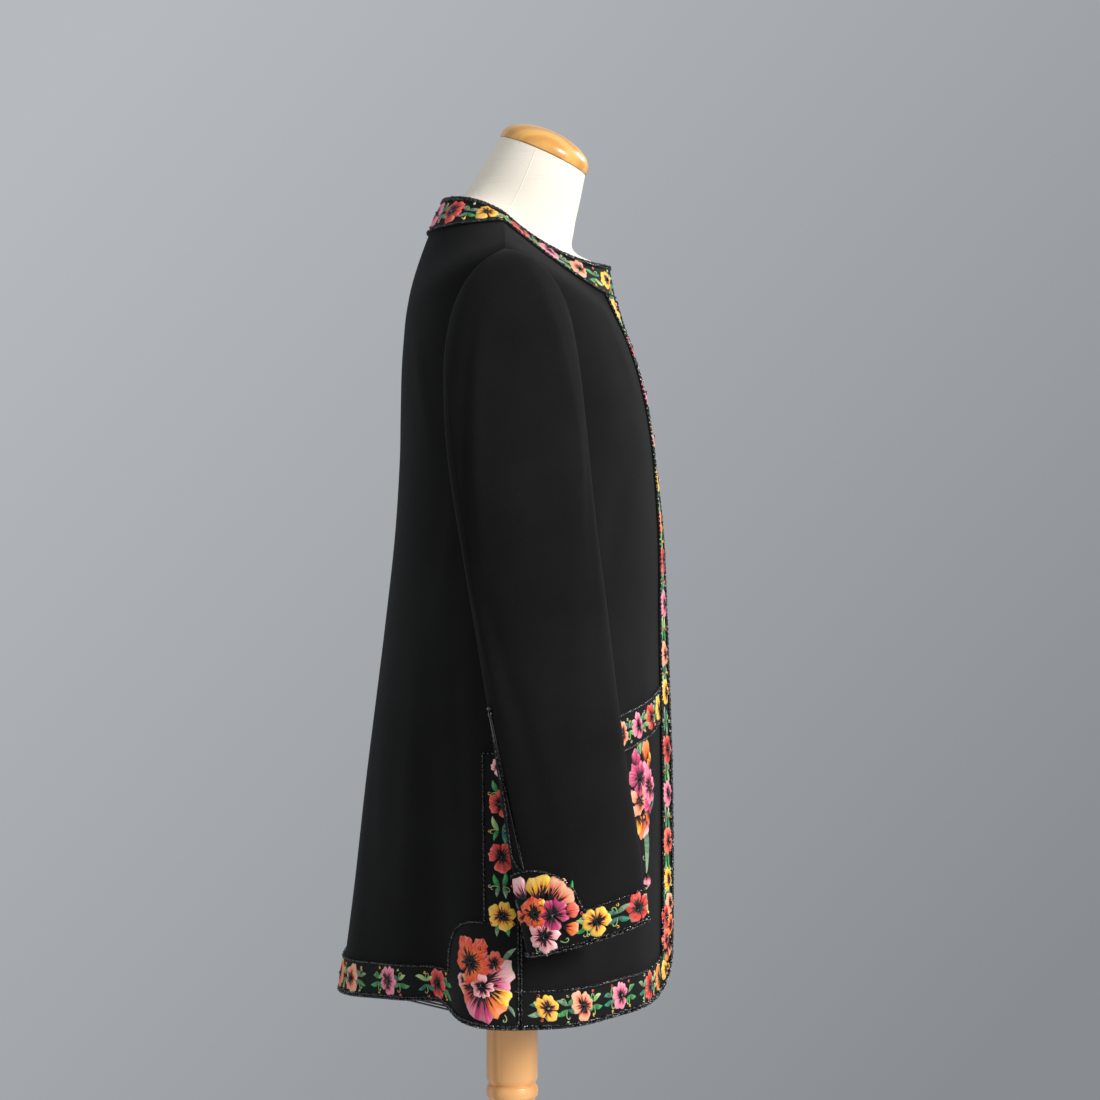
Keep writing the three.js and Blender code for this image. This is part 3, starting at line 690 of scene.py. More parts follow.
def make_beads():
    """Small black glass beads, shiny, with a few duller ones among them."""
    beads = Finish(bpy.data.materials.new("beads"))
    worn = beads.noise(beads.object_place(), 620, 1, 0.5)
    beads.give(
        base_color=beads.blend(beads.ease(worn, 0.4, 0.65), (0.004, 0.004, 0.005), (0.030, 0.031, 0.036)),
        roughness=beads.ease(worn, 0.35, 0.65, 0.07, 0.3),
        coat_weight=1.0,
        coat_roughness=0.04,
        specular_ior_level=0.9,
    )
    return beads.owner


def make_cover():
    """The form's tight cotton cover: a plain cream weave with a few slubs, a little grey with handling."""
    cover = Finish(bpy.data.materials.new("form_cover"))
    place = cover.object_place()
    x, y, z = cover.split(place)
    weave = (x * 6300 + y * 6300).math("SINE") * (z * 5200).math("SINE")
    slub = cover.noise(cover.stretched(place, (30, 30, 700)), 1.0, 2, 0.5)
    mark = cover.noise(place, 9, 4, 0.6)
    clean = cover.blend(cover.ease(slub, 0.45, 0.8) * 0.4, (0.84, 0.775, 0.67), (0.76, 0.69, 0.57))
    cover.give(
        base_color=cover.blend(cover.ease(mark, 0.55, 0.9) * 0.25, clean, (0.66, 0.60, 0.50)),
        roughness=cover.ease(slub, 0.3, 0.8, 0.78, 0.92),
        normal=cover.bumped(weave * 0.5 + slub * 0.8, 0.00018, 0.5),
        sheen_weight=0.1,
        specular_ior_level=0.25,
    )
    return cover.owner


def make_wood(name, colours, lean, scale):
    """Varnished wood, in pale, dark and deep colours. The grain runs along the piece, and leans with it."""
    pale, dark, deep = colours
    wood = Finish(bpy.data.materials.new(name))
    place = wood.stretched(wood.object_place(), scale, lean)
    bend = wood.noise(place, 1.2, 3, 0.55)
    x, _, _ = wood.split(place)
    ring = ((x * 9 + bend * 7) * 6.3).math("SINE") * 0.5 + 0.5
    fine = wood.noise(wood.stretched(place, (14, 14, 1)), 9, 4, 0.65)
    base = wood.blend(wood.ease(ring, 0.25, 0.95), pale, dark)
    wood.give(
        base_color=wood.blend(wood.ease(fine, 0.52, 0.78) * 0.5, base, deep),
        roughness=wood.ease(fine, 0.3, 0.8, 0.3, 0.46),
        normal=wood.bumped(fine + ring * 0.4, 0.00012, 0.4),
        coat_weight=0.35,
        coat_roughness=0.14,
    )
    return wood.owner


CAP_LEAN = math.atan2(38, 85)
CAP_COLOURS = (0.80, 0.43, 0.11), (0.66, 0.31, 0.07), (0.50, 0.21, 0.04)
POLE_COLOURS = (0.90, 0.46, 0.17), (0.76, 0.36, 0.12), (0.55, 0.24, 0.07)
POLE_GRAIN = (7, 7, 0.9)
LOOKS = {
    "wool_cloth": make_wool(),
    "band_cloth": make_band_cloth(),
    "floss": make_floss(),
    "beads": make_beads(),
    "form_cover": make_cover(),
    "cap_wood": make_wood("cap_wood", CAP_COLOURS, -CAP_LEAN, (5, 1.3, 5)),
    "pole_wood": make_wood("pole_wood", POLE_COLOURS, 0, POLE_GRAIN),
}
FOOT_WOOD = make_wood("foot_wood", POLE_COLOURS, RIGHT_ANGLE, POLE_GRAIN)
# An edge that turns by more than this is drawn sharp.
SHARP = math.radians(40)


def stand(name, data):
    """An object with that name and data, in the scene."""
    made = bpy.data.objects.new(name, data)
    bpy.context.scene.collection.objects.link(made)
    return made


def meshed(mesh, name, material):
    made = bpy.data.meshes.new(name)
    mesh.to_mesh(made)
    mesh.free()
    made.materials.append(material)
    return stand(name, made)


def finished(mesh, name, slot, *replaced, look=None, sharp=SHARP):
    """Puts a mesh in the scene as a piece of the object, in the look of its slot or in one of its own."""
    for face in mesh.faces:
        face.smooth = True
    for edge in mesh.edges:
        if len(edge.link_faces) == 2 and edge.calc_face_angle() > sharp:
            edge.smooth = False
    piece = meshed(mesh, name, look or LOOKS[slot])
    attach(piece, "root")
    if replaced:
        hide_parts(*replaced)
    return piece


# The pieces of cloth. Each is a grid moved onto the body or a sleeve, and then given its thickness.
def shaped(columns, rows, place, flip=False, join=False, wall=0.0):
    """A grid moved to place(u, s), with u across and s up from 0 to 1. place also gives each point's place on
    the flat cloth. join closes it all round, and wall gives it that thickness inwards."""
    mesh = bmesh.new()
    bmesh.ops.create_grid(mesh, x_segments=columns, y_segments=rows, size=0.5)
    grid = np.array([vert.co[:] for vert in mesh.verts]) + 0.5
    points, flat = place(grid[:, 0], grid[:, 1])
    layer = mesh.verts.layers.float_vector.new("cloth")
    for vert, point, spot in zip(mesh.verts, points * MM, flat * MM):
        vert.co = point
        vert[layer] = (spot[0], spot[1], 0)
    if join:
        bmesh.ops.remove_doubles(mesh, verts=mesh.verts[:], dist=0.00001)
    if flip:
        bmesh.ops.reverse_faces(mesh, faces=mesh.faces[:])
    mesh.normal_update()
    if wall:
        bmesh.ops.solidify(mesh, geom=mesh.faces[:], thickness=wall * MM)
    return mesh


def through(stops, share):
    """A value at that share of the way along evenly spaced stops."""
    return np.interp(share, np.linspace(0, 1, len(stops)), stops)


def panel_heights():
    """The heights of a panel's rows, close together round its lower corner and at the ends of the armhole."""
    turns = np.linspace(0, math.pi, 43)
    heights = ARMHOLE_MID_Z - ARMHOLE_HALF_Z * np.cos(turns)
    armhole = curve_at(BODY["z_front"], np.interp(heights, ARMHOLE_HEIGHTS, ARMHOLE_RINGS))
    corner = HEM_Z + FRONT_CORNER_R * (1 - np.cos(np.linspace(0, RIGHT_ANGLE, 14)))
    skirt = np.linspace(corner[-1], armhole[0], 84)
    shoulder = np.linspace(armhole[-1], BODY["z_front"][NECK], 16)
    return np.concatenate([corner, skirt[1:], armhole[1:], shoulder[1:]])


PANEL_HEIGHTS = panel_heights()
PANEL_ROWS = len(PANEL_HEIGHTS) - 1


def panel_height(s):
    return through(PANEL_HEIGHTS, s)


# Rough widths and lengths, which only say how large the weave is.
FRONT_FLAT = 300
BACK_FLAT = 640
SLEEVE_FLAT = (180, 640)
NECK_FLAT = 560
FORM_FLAT = (900, 700)
WELT_FLAT = (2, 60)


def across_front(side, height_at, out):
    """Places from the front edge to the side seam, at the height of each row."""

    def place(u, s):
        z = height_at(s)
        ring = ring_at(z)
        angle = mix(front_edge_angle(ring), front_side_angle(ring), u)
        return body_spot(angle, ring, side, out), np.stack([u * FRONT_FLAT, z], axis=-1)

    return place


def cloth_front(side):
    return shaped(56, PANEL_ROWS, across_front(side, panel_height, 0.0), flip=side == RIGHT, wall=WOOL)


def cloth_back():
    def place(u, s):
        z = panel_height(s)
        ring = ring_at(z)
        share = 1 - np.abs(2 * u - 1)
        side = np.where(u < 0.5, LEFT, RIGHT)
        angle = mix(back_side_angle(ring), math.pi, share)
        return body_spot(angle, ring, side, 0.0), np.stack([u * BACK_FLAT, z], axis=-1)

    return shaped(120, PANEL_ROWS, place, wall=WOOL)


FRONT_SEAM = math.radians(108)
BACK_SEAM = math.radians(-72)
SEAM_GAP = 0.005


def cloth_sleeve(side, first, last):
    wide, long = SLEEVE_FLAT

    def place(u, s):
        phi = mix(first + SEAM_GAP, last - SEAM_GAP, u)
        return sleeve_spot(phi, CUFF * (1 - s), side, 0.0), np.stack([u * wide, s * long], axis=-1)

    return shaped(40, 110, place, flip=side == LEFT, wall=WOOL)


def band(columns, rows, at, spot, flip=False, join=False):
    """A band on top of the cloth. at(u, s) gives its place along and up, and spot puts that on the cloth."""

    def place(u, s):
        along, up = at(u, s)
        return spot(along, up, np.full(u.shape, BAND_FACE)), np.stack([along, up], axis=-1)

    return shaped(columns, rows, place, flip=flip, join=join, wall=TRIM)


FRONT_BAND_LOW = HEM_Z + BAND_WIDE + SEAM
FRONT_BAND_TOP = float(curve_at(BODY["z_front"], np.array([COLLAR - 0.02]))[0])
# The first straight column past the curve of a scallop is this far from it.
PAST_CURVE = 5.0
# A length this small is still to one side of a seam.
TINY = 1e-6


def front_band(side):
    def at(u, s):
        z = mix(FRONT_BAND_LOW, FRONT_BAND_TOP, s)
        return mix(front_edge_x(z), BAND_WIDE, u), z

    return band(10, 120, at, on_front(side), flip=side == RIGHT)


def hem_band_front(side):
    top = math.acos(1 - BAND_WIDE / FRONT_CORNER_R)

    def height_at(s):
        return HEM_Z + FRONT_CORNER_R * (1 - np.cos(top * s))

    return shaped(70, 12, across_front(side, height_at, BAND_FACE), flip=side == RIGHT, wall=TRIM)


def scallop_columns():
    """Lengths along half the back, close together where the scallop ends."""
    level_part = np.linspace(0, VENT_BAND_WIDE, 8)[:-1]
    round_part = VENT_BAND_WIDE + SCALLOP_R * np.sin(np.linspace(0, RIGHT_ANGLE, 16))
    low_part = np.linspace(VENT_BAND_WIDE + SCALLOP_R + PAST_CURVE, BACK_HALF, 36)
    return np.concatenate([level_part, round_part, low_part])


def scallop_top(along):
    beyond = clamp01((along - VENT_BAND_WIDE) / SCALLOP_R)
    return BAND_WIDE + SCALLOP_R * np.sqrt(1 - beyond**2)


def hem_band_back():
    half = scallop_columns()
    stops = np.concatenate([half, -half[-2::-1]])
    stops[-1] = -TINY

    def at(u, s):
        along = through(stops, u)
        return along, HEM_Z + s * scallop_top(np.abs(along))

    return band(len(stops) - 1, 14, at, on_back)


def vent_band(side):
    def at(u, s):
        along = np.maximum(u * VENT_BAND_WIDE, TINY)
        low = HEM_Z + BAND_WIDE + SCALLOP_R + SEAM
        return along * side, mix(low, VENT_BAND_TOP_Z, s)

    return band(8, 28, at, on_back, flip=side == RIGHT)


def pocket_top(along):
    share = (along - POCKET["from"]) / (POCKET["to"] - POCKET["from"])
    return mix(POCKET["from_z"], POCKET["to_z"], share)


def pocket_band(side):
    def at(u, s):
        along = mix(POCKET["from"], POCKET["to"], u)
        return along, pocket_top(along) - POCKET["tall"] * (1 - s)

    return band(26, 8, at, on_front(side), flip=side == RIGHT)


def neck_band():
    def place(u, s):
        along = mix(CENTRE_GAP, NECK_HALF, 1 - np.abs(2 * u - 1))
        up = BAND_WIDE * s
        height = np.full(u.shape, BAND_FACE)
        left = on_neck(LEFT)(along, up, height)
        right = on_neck(RIGHT)(along, up, height)
        return np.where((u < 0.5)[:, None], left, right), np.stack([u * NECK_FLAT, up], axis=-1)

    return shaped(120, 10, place, wall=TRIM)


def cuff_columns():
    arch = CUFF_ARCH_R * np.sin(np.linspace(-RIGHT_ANGLE, RIGHT_ANGLE, 33))
    past = CUFF_ARCH_R + 3
    return np.concatenate([np.linspace(-CUFF_BEHIND, -past, 18), arch, np.linspace(past, CUFF_AHEAD, 18)])


def arch_top(along):
    return CUFF_BAND_WIDE + np.sqrt(np.maximum(CUFF_ARCH_R**2 - along**2, 0))


def cuff_band(side):
    stops = cuff_columns()

    def at(u, s):
        along = through(stops, u)
        return along, s * arch_top(along)

    return band(len(stops) - 1, 14, at, on_sleeve(side), flip=side == LEFT, join=True)


# Rings of the dress form, from the top down: its neck, and its trunk under the shoulders.
FORM_NECK = table(
    RING,
    (46.6, -73, 12, -30.5, 1454, 1473, 1492, 1),
    (49, -68, 25, -22, 1429, 1449, 1471, 1),
    (51, -62, 38, -12, 1400, 1425, 1449, 1),
    (56, -62, 52, -4, 1378, 1409, 1430, 2),
)
FORM_TRUNK = table(
    RING,
    (174, -112, 103, 3, 1255, 1345, 1283, 0.65),
    (172, -120, 105, 3, 1225, 1290, 1245, 0.7),
    (167, -122, 104, 2, 1195, 1225, 1205, 0.9),
    (160, -117, 100, 0, 1160, 1165, 1160, 1),
    (140, -102, 88, -4, 1100, 1100, 1100, 1),
    (127, -88, 76, -4, 1035, 1035, 1035, 1),
    (150, -97, 92, -2, 950, 950, 950, 1),
    (168, -104, 108, 0, 870, 870, 870, 1),
    (163, -101, 106, 0, 812, 812, 812, 1),
    (155, -94, 98, 0, 796, 796, 796, 1),
)
FORM_BUST = {"angle": math.radians(42), "wide": math.radians(17), "z": 1172.0, "tall": 42.0, "out": 12.0}
FORM_SHOULDERS = np.linspace(NECK, TIP, 13)
UNDER_CLOTH = -(WOOL + 1.1)
FORM_COLUMNS = 120
ROWS_PER_RING = 5
NECK_SEAM = {"angle": math.radians(98), "wide": 0.011, "out": 0.45, "sunk": 0.09, "first": 0.02, "rings": 4.2}


def form_ring(row, t):
    x, y, z = ring_point(row, np.abs(t))
    near = bell((np.abs(t) - FORM_BUST["angle"]) / FORM_BUST["wide"])
    out = FORM_BUST["out"] * near * bell((z - FORM_BUST["z"]) / FORM_BUST["tall"])
    return np.stack([np.sign(t) * x, y - np.where(y < row["widest"], out, 0), z], axis=-1)


def form_points(t, place):
    """Points of the form at the angles t, place rings down from the top, on smooth curves through them."""
    side = np.where(t < 0, RIGHT, LEFT)
    under = np.full(t.shape, UNDER_CLOTH)
    neck = [form_ring(row, t) for row in rows_of(FORM_NECK)]
    shoulders = [body_spot(np.abs(t), v, side, under) for v in FORM_SHOULDERS]
    trunk = [form_ring(row, t) for row in rows_of(FORM_TRUNK)]
    rings = np.array(neck + shoulders + trunk)
    low = below(place, len(rings) - 2)
    each = np.arange(len(t))
    near = [rings[np.clip(low + i, 0, len(rings) - 1), each] for i in (-1, 0, 1, 2)]
    return smooth(*near, (place - low)[:, None])


FORM_LAST = len(FORM_NECK["half"]) + len(FORM_SHOULDERS) + len(FORM_TRUNK["half"]) - 1


def form_torso():
    wide, long = FORM_FLAT

    def place(u, s):
        points = form_points(mix(-math.pi, math.pi, u), (1 - s) * FORM_LAST)
        return points, np.stack([u * wide, s * long], axis=-1)

    mesh = shaped(FORM_COLUMNS, FORM_LAST * ROWS_PER_RING, place, join=True)
    bmesh.ops.holes_fill(mesh, edges=[edge for edge in mesh.edges if edge.is_boundary], sides=0)
    bmesh.ops.recalc_face_normals(mesh, faces=mesh.faces[:])
    return mesh


def neck_seam(side):
    """The welt where the cover is sewn together up the side of the neck. Its edges are sunk in the cover."""
    wide, long = WELT_FLAT

    def place(u, s):
        off = 2 * u - 1
        t = side * (NECK_SEAM["angle"] + NECK_SEAM["wide"] * off)
        points = form_points(t, NECK_SEAM["first"] + s * NECK_SEAM["rings"])
        points[:, 0] += side * mix(NECK_SEAM["out"], -NECK_SEAM["sunk"], np.abs(off))
        return points, np.stack([u * wide, s * long], axis=-1)

    return shaped(2, 60, place, flip=side == LEFT)


def turned(profile, sides=72):
    """A solid turned about +Z through pairs of radius and height, whose ends lie on the axis."""
    mesh = bmesh.new()
    verts = [mesh.verts.new((radius * MM, 0, z * MM)) for radius, z in profile]
    edges = [mesh.edges.new(pair) for pair in zip(verts, verts[1:])]
    whole = {"cent": (0, 0, 0), "axis": (0, 0, 1), "angle": FULL_TURN, "steps": sides, "use_merge": True}
    bmesh.ops.spin(mesh, geom=verts + edges, **whole)
    bmesh.ops.remove_doubles(mesh, verts=mesh.verts[:], dist=0.000002)
    bmesh.ops.recalc_face_normals(mesh, faces=mesh.faces[:])
    return mesh


def arc(centre, reach, first, last, steps):
    """Pairs of radius and height round part of an ellipse."""
    angles = np.radians(np.linspace(first, last, steps + 1))
    return [(centre[0] + reach[0] * math.cos(a), centre[1] + reach[1] * math.sin(a)) for a in angles]


CAP = {"radius": 47.2, "round": 1.5, "edge": 4.5, "dome": 22.0, "y": -30.5, "z": 1473.0}
POLE_R = 25.7
POLE_COLLAR = {"out": 6.0, "tall": 14.0, "edge": 1.0, "round": 3.0}
POLE_BEADS = (96, 540)
# The shape of a bead of the pole, as pairs of height and how far it stands out.
BEAD = ((-8, -2.6), (-5, -0.4), (0, 0.6), (5, -0.4), (7, -2.6), (13, 0))
FORM_FOOT_Z = 796.0
FOOT_R = 190.0
FOOT_THICK = 28.0
FOOT_ROUND = {"in": 14.0, "tall": 12.0, "under": 3.0}


def neck_cap():
    inner = CAP["radius"] - CAP["round"]
    rim = arc((inner, CAP["round"]), (CAP["round"], CAP["round"]), -90, 0, 5)
    dome = arc((0, CAP["edge"]), (CAP["radius"], CAP["dome"]), 0, 90, 18)
    mesh = turned([(0, 0), *rim, *dome], 96)
    up = Vector((0, CAP["y"], CAP["z"])) * MM
    seat = Matrix.Translation(up) @ Matrix.Rotation(CAP_LEAN, 4, "X") @ Matrix.Translation((0, 0, SEAM * MM))
    bmesh.ops.transform(mesh, matrix=seat, verts=mesh.verts[:])
    return mesh


def pole():
    low = FOOT_THICK + SEAM
    collar = POLE_R + POLE_COLLAR["out"]
    top = low + POLE_COLLAR["tall"]
    edge = POLE_COLLAR["edge"]
    bend = POLE_COLLAR["round"]
    profile = [(0, low), (collar - edge, low), (collar, low + edge)]
    profile += [*arc((collar - bend, top - bend), (bend, bend), 0, 90, 5), (POLE_R, top)]
    over, out = zip(*BEAD)
    for z in POLE_BEADS:
        heights = np.linspace(over[0], over[-1], 22)
        profile += [(POLE_R + float(np.interp(h, over, out)), z + h) for h in heights]
    end = FORM_FOOT_Z - SEAM
    return turned([*profile, (POLE_R, end - edge), (POLE_R, end), (0, end)])


def foot():
    lip = FOOT_ROUND["under"]
    under = arc((FOOT_R - lip, lip), (lip, lip), -90, 0, 4)
    shoulder = (FOOT_R - FOOT_ROUND["in"], FOOT_THICK - FOOT_ROUND["tall"])
    over = arc(shoulder, (FOOT_ROUND["in"], FOOT_ROUND["tall"]), 0, 90, 10)
    return turned([(0, 0), *under, *over, (0, FOOT_THICK)], 120)


# The embroidery. It is drawn flat, in millimetres along, up and out from the cloth, and then laid on it.
def listed(columns, *rows):
    """A table with named columns, one dictionary for each row."""
    return [dict(zip(columns, row)) for row in rows]


# The colours of the floss: at the edge of a petal or leaf, and at its heart.
DYES = {
    "yellow": (linear(252, 214, 50), linear(226, 112, 12)),
    "peach": (linear(250, 184, 140), linear(224, 80, 50)),
    "pink": (linear(246, 150, 176), linear(206, 36, 92)),
    "pale pink": (linear(252, 206, 204), linear(232, 112, 128)),
    "magenta": (linear(216, 44, 118), linear(128, 6, 58)),
    "red": (linear(232, 46, 26), linear(150, 8, 10)),
    "flame": (linear(232, 38, 20), linear(242, 112, 30)),
    "orange": (linear(252, 142, 34), linear(220, 52, 12)),
    "coral": (linear(246, 108, 78), linear(202, 34, 30)),
    "green": (linear(52, 178, 84), linear(10, 112, 48)),
    "teal": (linear(24, 150, 112), linear(4, 90, 72)),
    "grey green": (linear(146, 172, 138), linear(82, 118, 90)),
    "pale green": (linear(196, 216, 150), linear(136, 172, 100)),
}
LEAF_DYES = ("green", "teal", "grey green", "pale green", "green")
DOT_DYES = ("pale green", "yellow", "coral")
PANSY = listed(
    ("angle", "reach", "spread"),
    (126, 1.0, 40),
    (54, 1.0, 40),
    (186, 0.94, 37),
    (-6, 0.94, 37),
    (270, 0.98, 50),
)
# A petal starts this share of its reach from the heart.
INSIDE = 0.1
# The flowers of a garland are this much larger than its table says.
FULLER = 1.1
PATH_STEPS = 60
# The edges of floss are sunk this far in the cloth, and each layer of it stands this much higher.
SUNK = 0.12
LAYER = 0.26
PETAL = {"narrow": 0.34, "notch": 0.05, "notch_wide": 0.13, "tall": 0.8, "ripple": 0.22, "dome": 0.5}
PETAL_SPREAD = 36
HEART_BEAD = {"radius": 1.3, "above": 0.5}
RING_BEADS = {"radius": 0.85, "far": 2.0, "ways": (30, 150, 270)}
# The two leaves of a spray: how far each leans ahead or back, how it bends and how wide it is. Then the size
# of its dot, and about how far apart the sprays of a garland are.
SPRAY = {"ahead": 52, "bend": 46, "wide": 5.2, "back": 48, "back_bend": 44, "back_wide": 4.4, "dot": 1.7}
SPRAY_PITCH = 40
# The edging rows of beads: how far a row lies in from an inner edge, and each of two rows from an outer one.
IN = 1.2
RIM_OUT = 1.1
RIM_IN = 3.4


def turn(point, angle, far):
    return point[0] + math.cos(angle) * far, point[1] + math.sin(angle) * far


class Needlework:
    """The embroidery of one band, in floss, with the small black beads in the hearts of its flowers."""

    def __init__(self, name, base=BAND_FACE):
        self.base = base
        self.mesh = bmesh.new()
        self.edge = self.mesh.verts.layers.float_color.new("edge")
        self.heart = self.mesh.verts.layers.float_color.new("heart")
        self.stitch = self.mesh.verts.layers.float_vector.new("stitch")
        self.chance = random.Random(name)
        self.beads = Beadwork(name, base)
        self.sewn = 0

    def wander(self, far):
        return self.chance.uniform(-far, far)

    def patch(self, across, along, shape, dye, kind, stitches):
        """A padded patch of stitches. shape gives the place of u, -1 to 1 across, and s, 0 to 1 along."""
        grid = bmesh.ops.create_grid(self.mesh, x_segments=across, y_segments=along, size=0.5)["verts"]
        spots = np.array([vert.co[:2] for vert in grid])
        u = spots[:, 0] * 2
        s = spots[:, 1] + 0.5
        stripes = stitches(u, s) + 50 * (self.sewn % 400)
        edge, heart = DYES[dye]
        for vert, point, stripe, reach, off in zip(grid, shape(u, s), stripes, s, np.abs(u)):
            vert.co = point
            vert[self.edge] = (*edge, 1)
            vert[self.heart] = (*heart, off)
            vert[self.stitch] = (stripe, reach, kind)
        self.sewn += 1

    def petal(self, at, angle, long, spread, dye, layer=0):
        phase = self.wander(3)
        ruffle = self.chance.uniform(0.035, 0.07)
        direction = math.radians(angle)
        half = math.radians(spread)

        def shape(u, s):
            notch = PETAL["notch"] * bell(u / PETAL["notch_wide"])
            edge = 1 + ruffle * np.cos(8 * u + phase) - notch
            reach = long * (1 - PETAL["narrow"] * np.abs(u) ** 2.4) * edge
            way = direction - u * half
            far = mix(INSIDE, 1, s) * reach
            ripple = PETAL["ripple"] * np.cos(7 * u + phase) * s
            rim = (1 - u**8) * (1 - s**10)
            padding = PETAL["tall"] + LAYER * layer + ripple + PETAL["dome"] * np.sin(math.pi * s**0.8)
            height = self.base - SUNK + padding * rim
            return np.stack([at[0] + np.cos(way) * far, at[1] + np.sin(way) * far, height], axis=-1)

        self.patch(10, 8, shape, dye, 0, lambda u, s: u * long * 0.42)

    def pansy(self, at, size, dye, angle=0, layer=0):
        """A pansy of five petals, with three beads round a larger one in its dark heart."""
        for i, row in enumerate(PANSY):
            way = row["angle"] + angle + self.wander(7)
            long = size * row["reach"] * (1 + self.wander(0.1))
            self.petal(at, way, long, row["spread"], dye, layer + i * 0.5)
        top = self.base + 1 + LAYER * (layer + 2)
        self.beads.bead(at, HEART_BEAD["radius"], top + HEART_BEAD["above"])
        for way in RING_BEADS["ways"]:
            spot = turn(at, math.radians(way + angle), RING_BEADS["far"])
            self.beads.bead(spot, RING_BEADS["radius"], top)

    def ribbon(self, at, angle, long, wide, bend, curl, dye, thick, steps, pointed):
        """A leaf or a tendril that starts at a place, bends evenly and then curls up at its end."""
        way = math.radians(angle)
        shares = np.linspace(0, 1, PATH_STEPS + 1)
        ways = way + math.radians(bend) * shares + math.radians(curl) * shares**3
        step = long / PATH_STEPS
        xs = at[0] + np.concatenate([[0], np.cumsum(np.cos(ways[:-1]) * step)])
        ys = at[1] + np.concatenate([[0], np.cumsum(np.sin(ways[:-1]) * step)])

        def shape(u, s):
            now = np.interp(s, shares, ways)
            if pointed:
                half = wide / 2 * np.sin(math.pi * (0.03 + 0.95 * s**0.8))
            else:
                half = wide / 2 * (1 - 0.45 * s)
            x = np.interp(s, shares, xs) + np.sin(now) * half * u
            y = np.interp(s, shares, ys) - np.cos(now) * half * u
            height = self.base - SUNK + (SUNK + thick) * (1 - u**4) * (1 - np.abs(2 * s - 1) ** 12)
            return np.stack([x, y, height], axis=-1)

        across = 4 if pointed else 2
        self.patch(across, steps, shape, dye, 1, lambda u, s: s * long * 0.9 + np.abs(u) * 1.6)

    def leaf(self, at, angle, long, wide, bend, dye):
        self.ribbon(at, angle, long, wide, bend, 0, dye, 0.7, 8, True)

    def tendril(self, at, angle, long, bend, curl, dye="pale green"):
        self.ribbon(at, angle, long, 1.3, bend, curl, dye, 0.55, 14, False)

    def spray(self, at, heading, room):
        """Leaves and tendrils that fill the cloth between two flowers, within room either side of at."""
        for way in (-1, 1):
            out = heading + 90 * way
            dye = self.chance.choice(LEAF_DYES)
            start = turn(at, math.radians(out), 1.5)
            ahead = self.chance.choice((-1, 1))
            lean = out - SPRAY["ahead"] * ahead * way + self.wander(10)
            long = room * self.chance.uniform(0.95, 1.15)
            self.leaf(start, lean, long, SPRAY["wide"], -SPRAY["bend"] * way * ahead, dye)
            other = self.chance.choice(LEAF_DYES)
            back = out + SPRAY["back"] * ahead * way + self.wander(12)
            long = room * self.chance.uniform(0.75, 0.95)
            self.leaf(start, back, long, SPRAY["back_wide"], SPRAY["back_bend"] * way * ahead, other)
            self.tendril(start, out + self.wander(20), room * 0.95, 30 * ahead, 300 * ahead * way)
            far = turn(at, math.radians(out), room * 0.82)
            spot = (far[0] + self.wander(2), far[1] + self.wander(2))
            self.petal(spot, self.wander(180), SPRAY["dot"], 170, self.chance.choice(DOT_DYES))

    def garland(self, flowers, at, first, last, room):
        """Pansies along a line with sprays between. at turns a place on it into a point and a heading."""
        stops = [first, *(flower["place"] for flower in flowers), last]
        for a, b in zip(stops, stops[1:]):
            count = max(round(abs(b - a) / SPRAY_PITCH), 1)
            for i in range(count):
                point, heading = at(mix(a, b, (i + 0.5) / count))
                self.spray(point, heading, room)
        for flower in flowers:
            point, heading = at(flower["place"])
            spot = (point[0] + self.wander(1), point[1] + self.wander(1))
            self.pansy(spot, flower["size"] * FULLER, flower["dye"], self.wander(35), 1)

    def bouquet(self, rows):
        """A bunch drawn one piece after another, each over those before it."""
        for layer, row in enumerate(rows):
            at = (row["a"], row["up"])
            if row["kind"] == "pansy":
                self.pansy(at, row["size"], row["dye"], row["angle"], 1 + layer * 0.2)
            elif row["kind"] == "petal":
                self.petal(at, row["angle"], row["size"], PETAL_SPREAD, row["dye"], 1 + layer * 0.2)
            elif row["kind"] == "leaf":
                self.leaf(at, row["angle"], row["size"], row["size"] * 0.28, 40, row["dye"])
            else:
                self.tendril(at, row["angle"], row["size"], 40, 320, row["dye"])


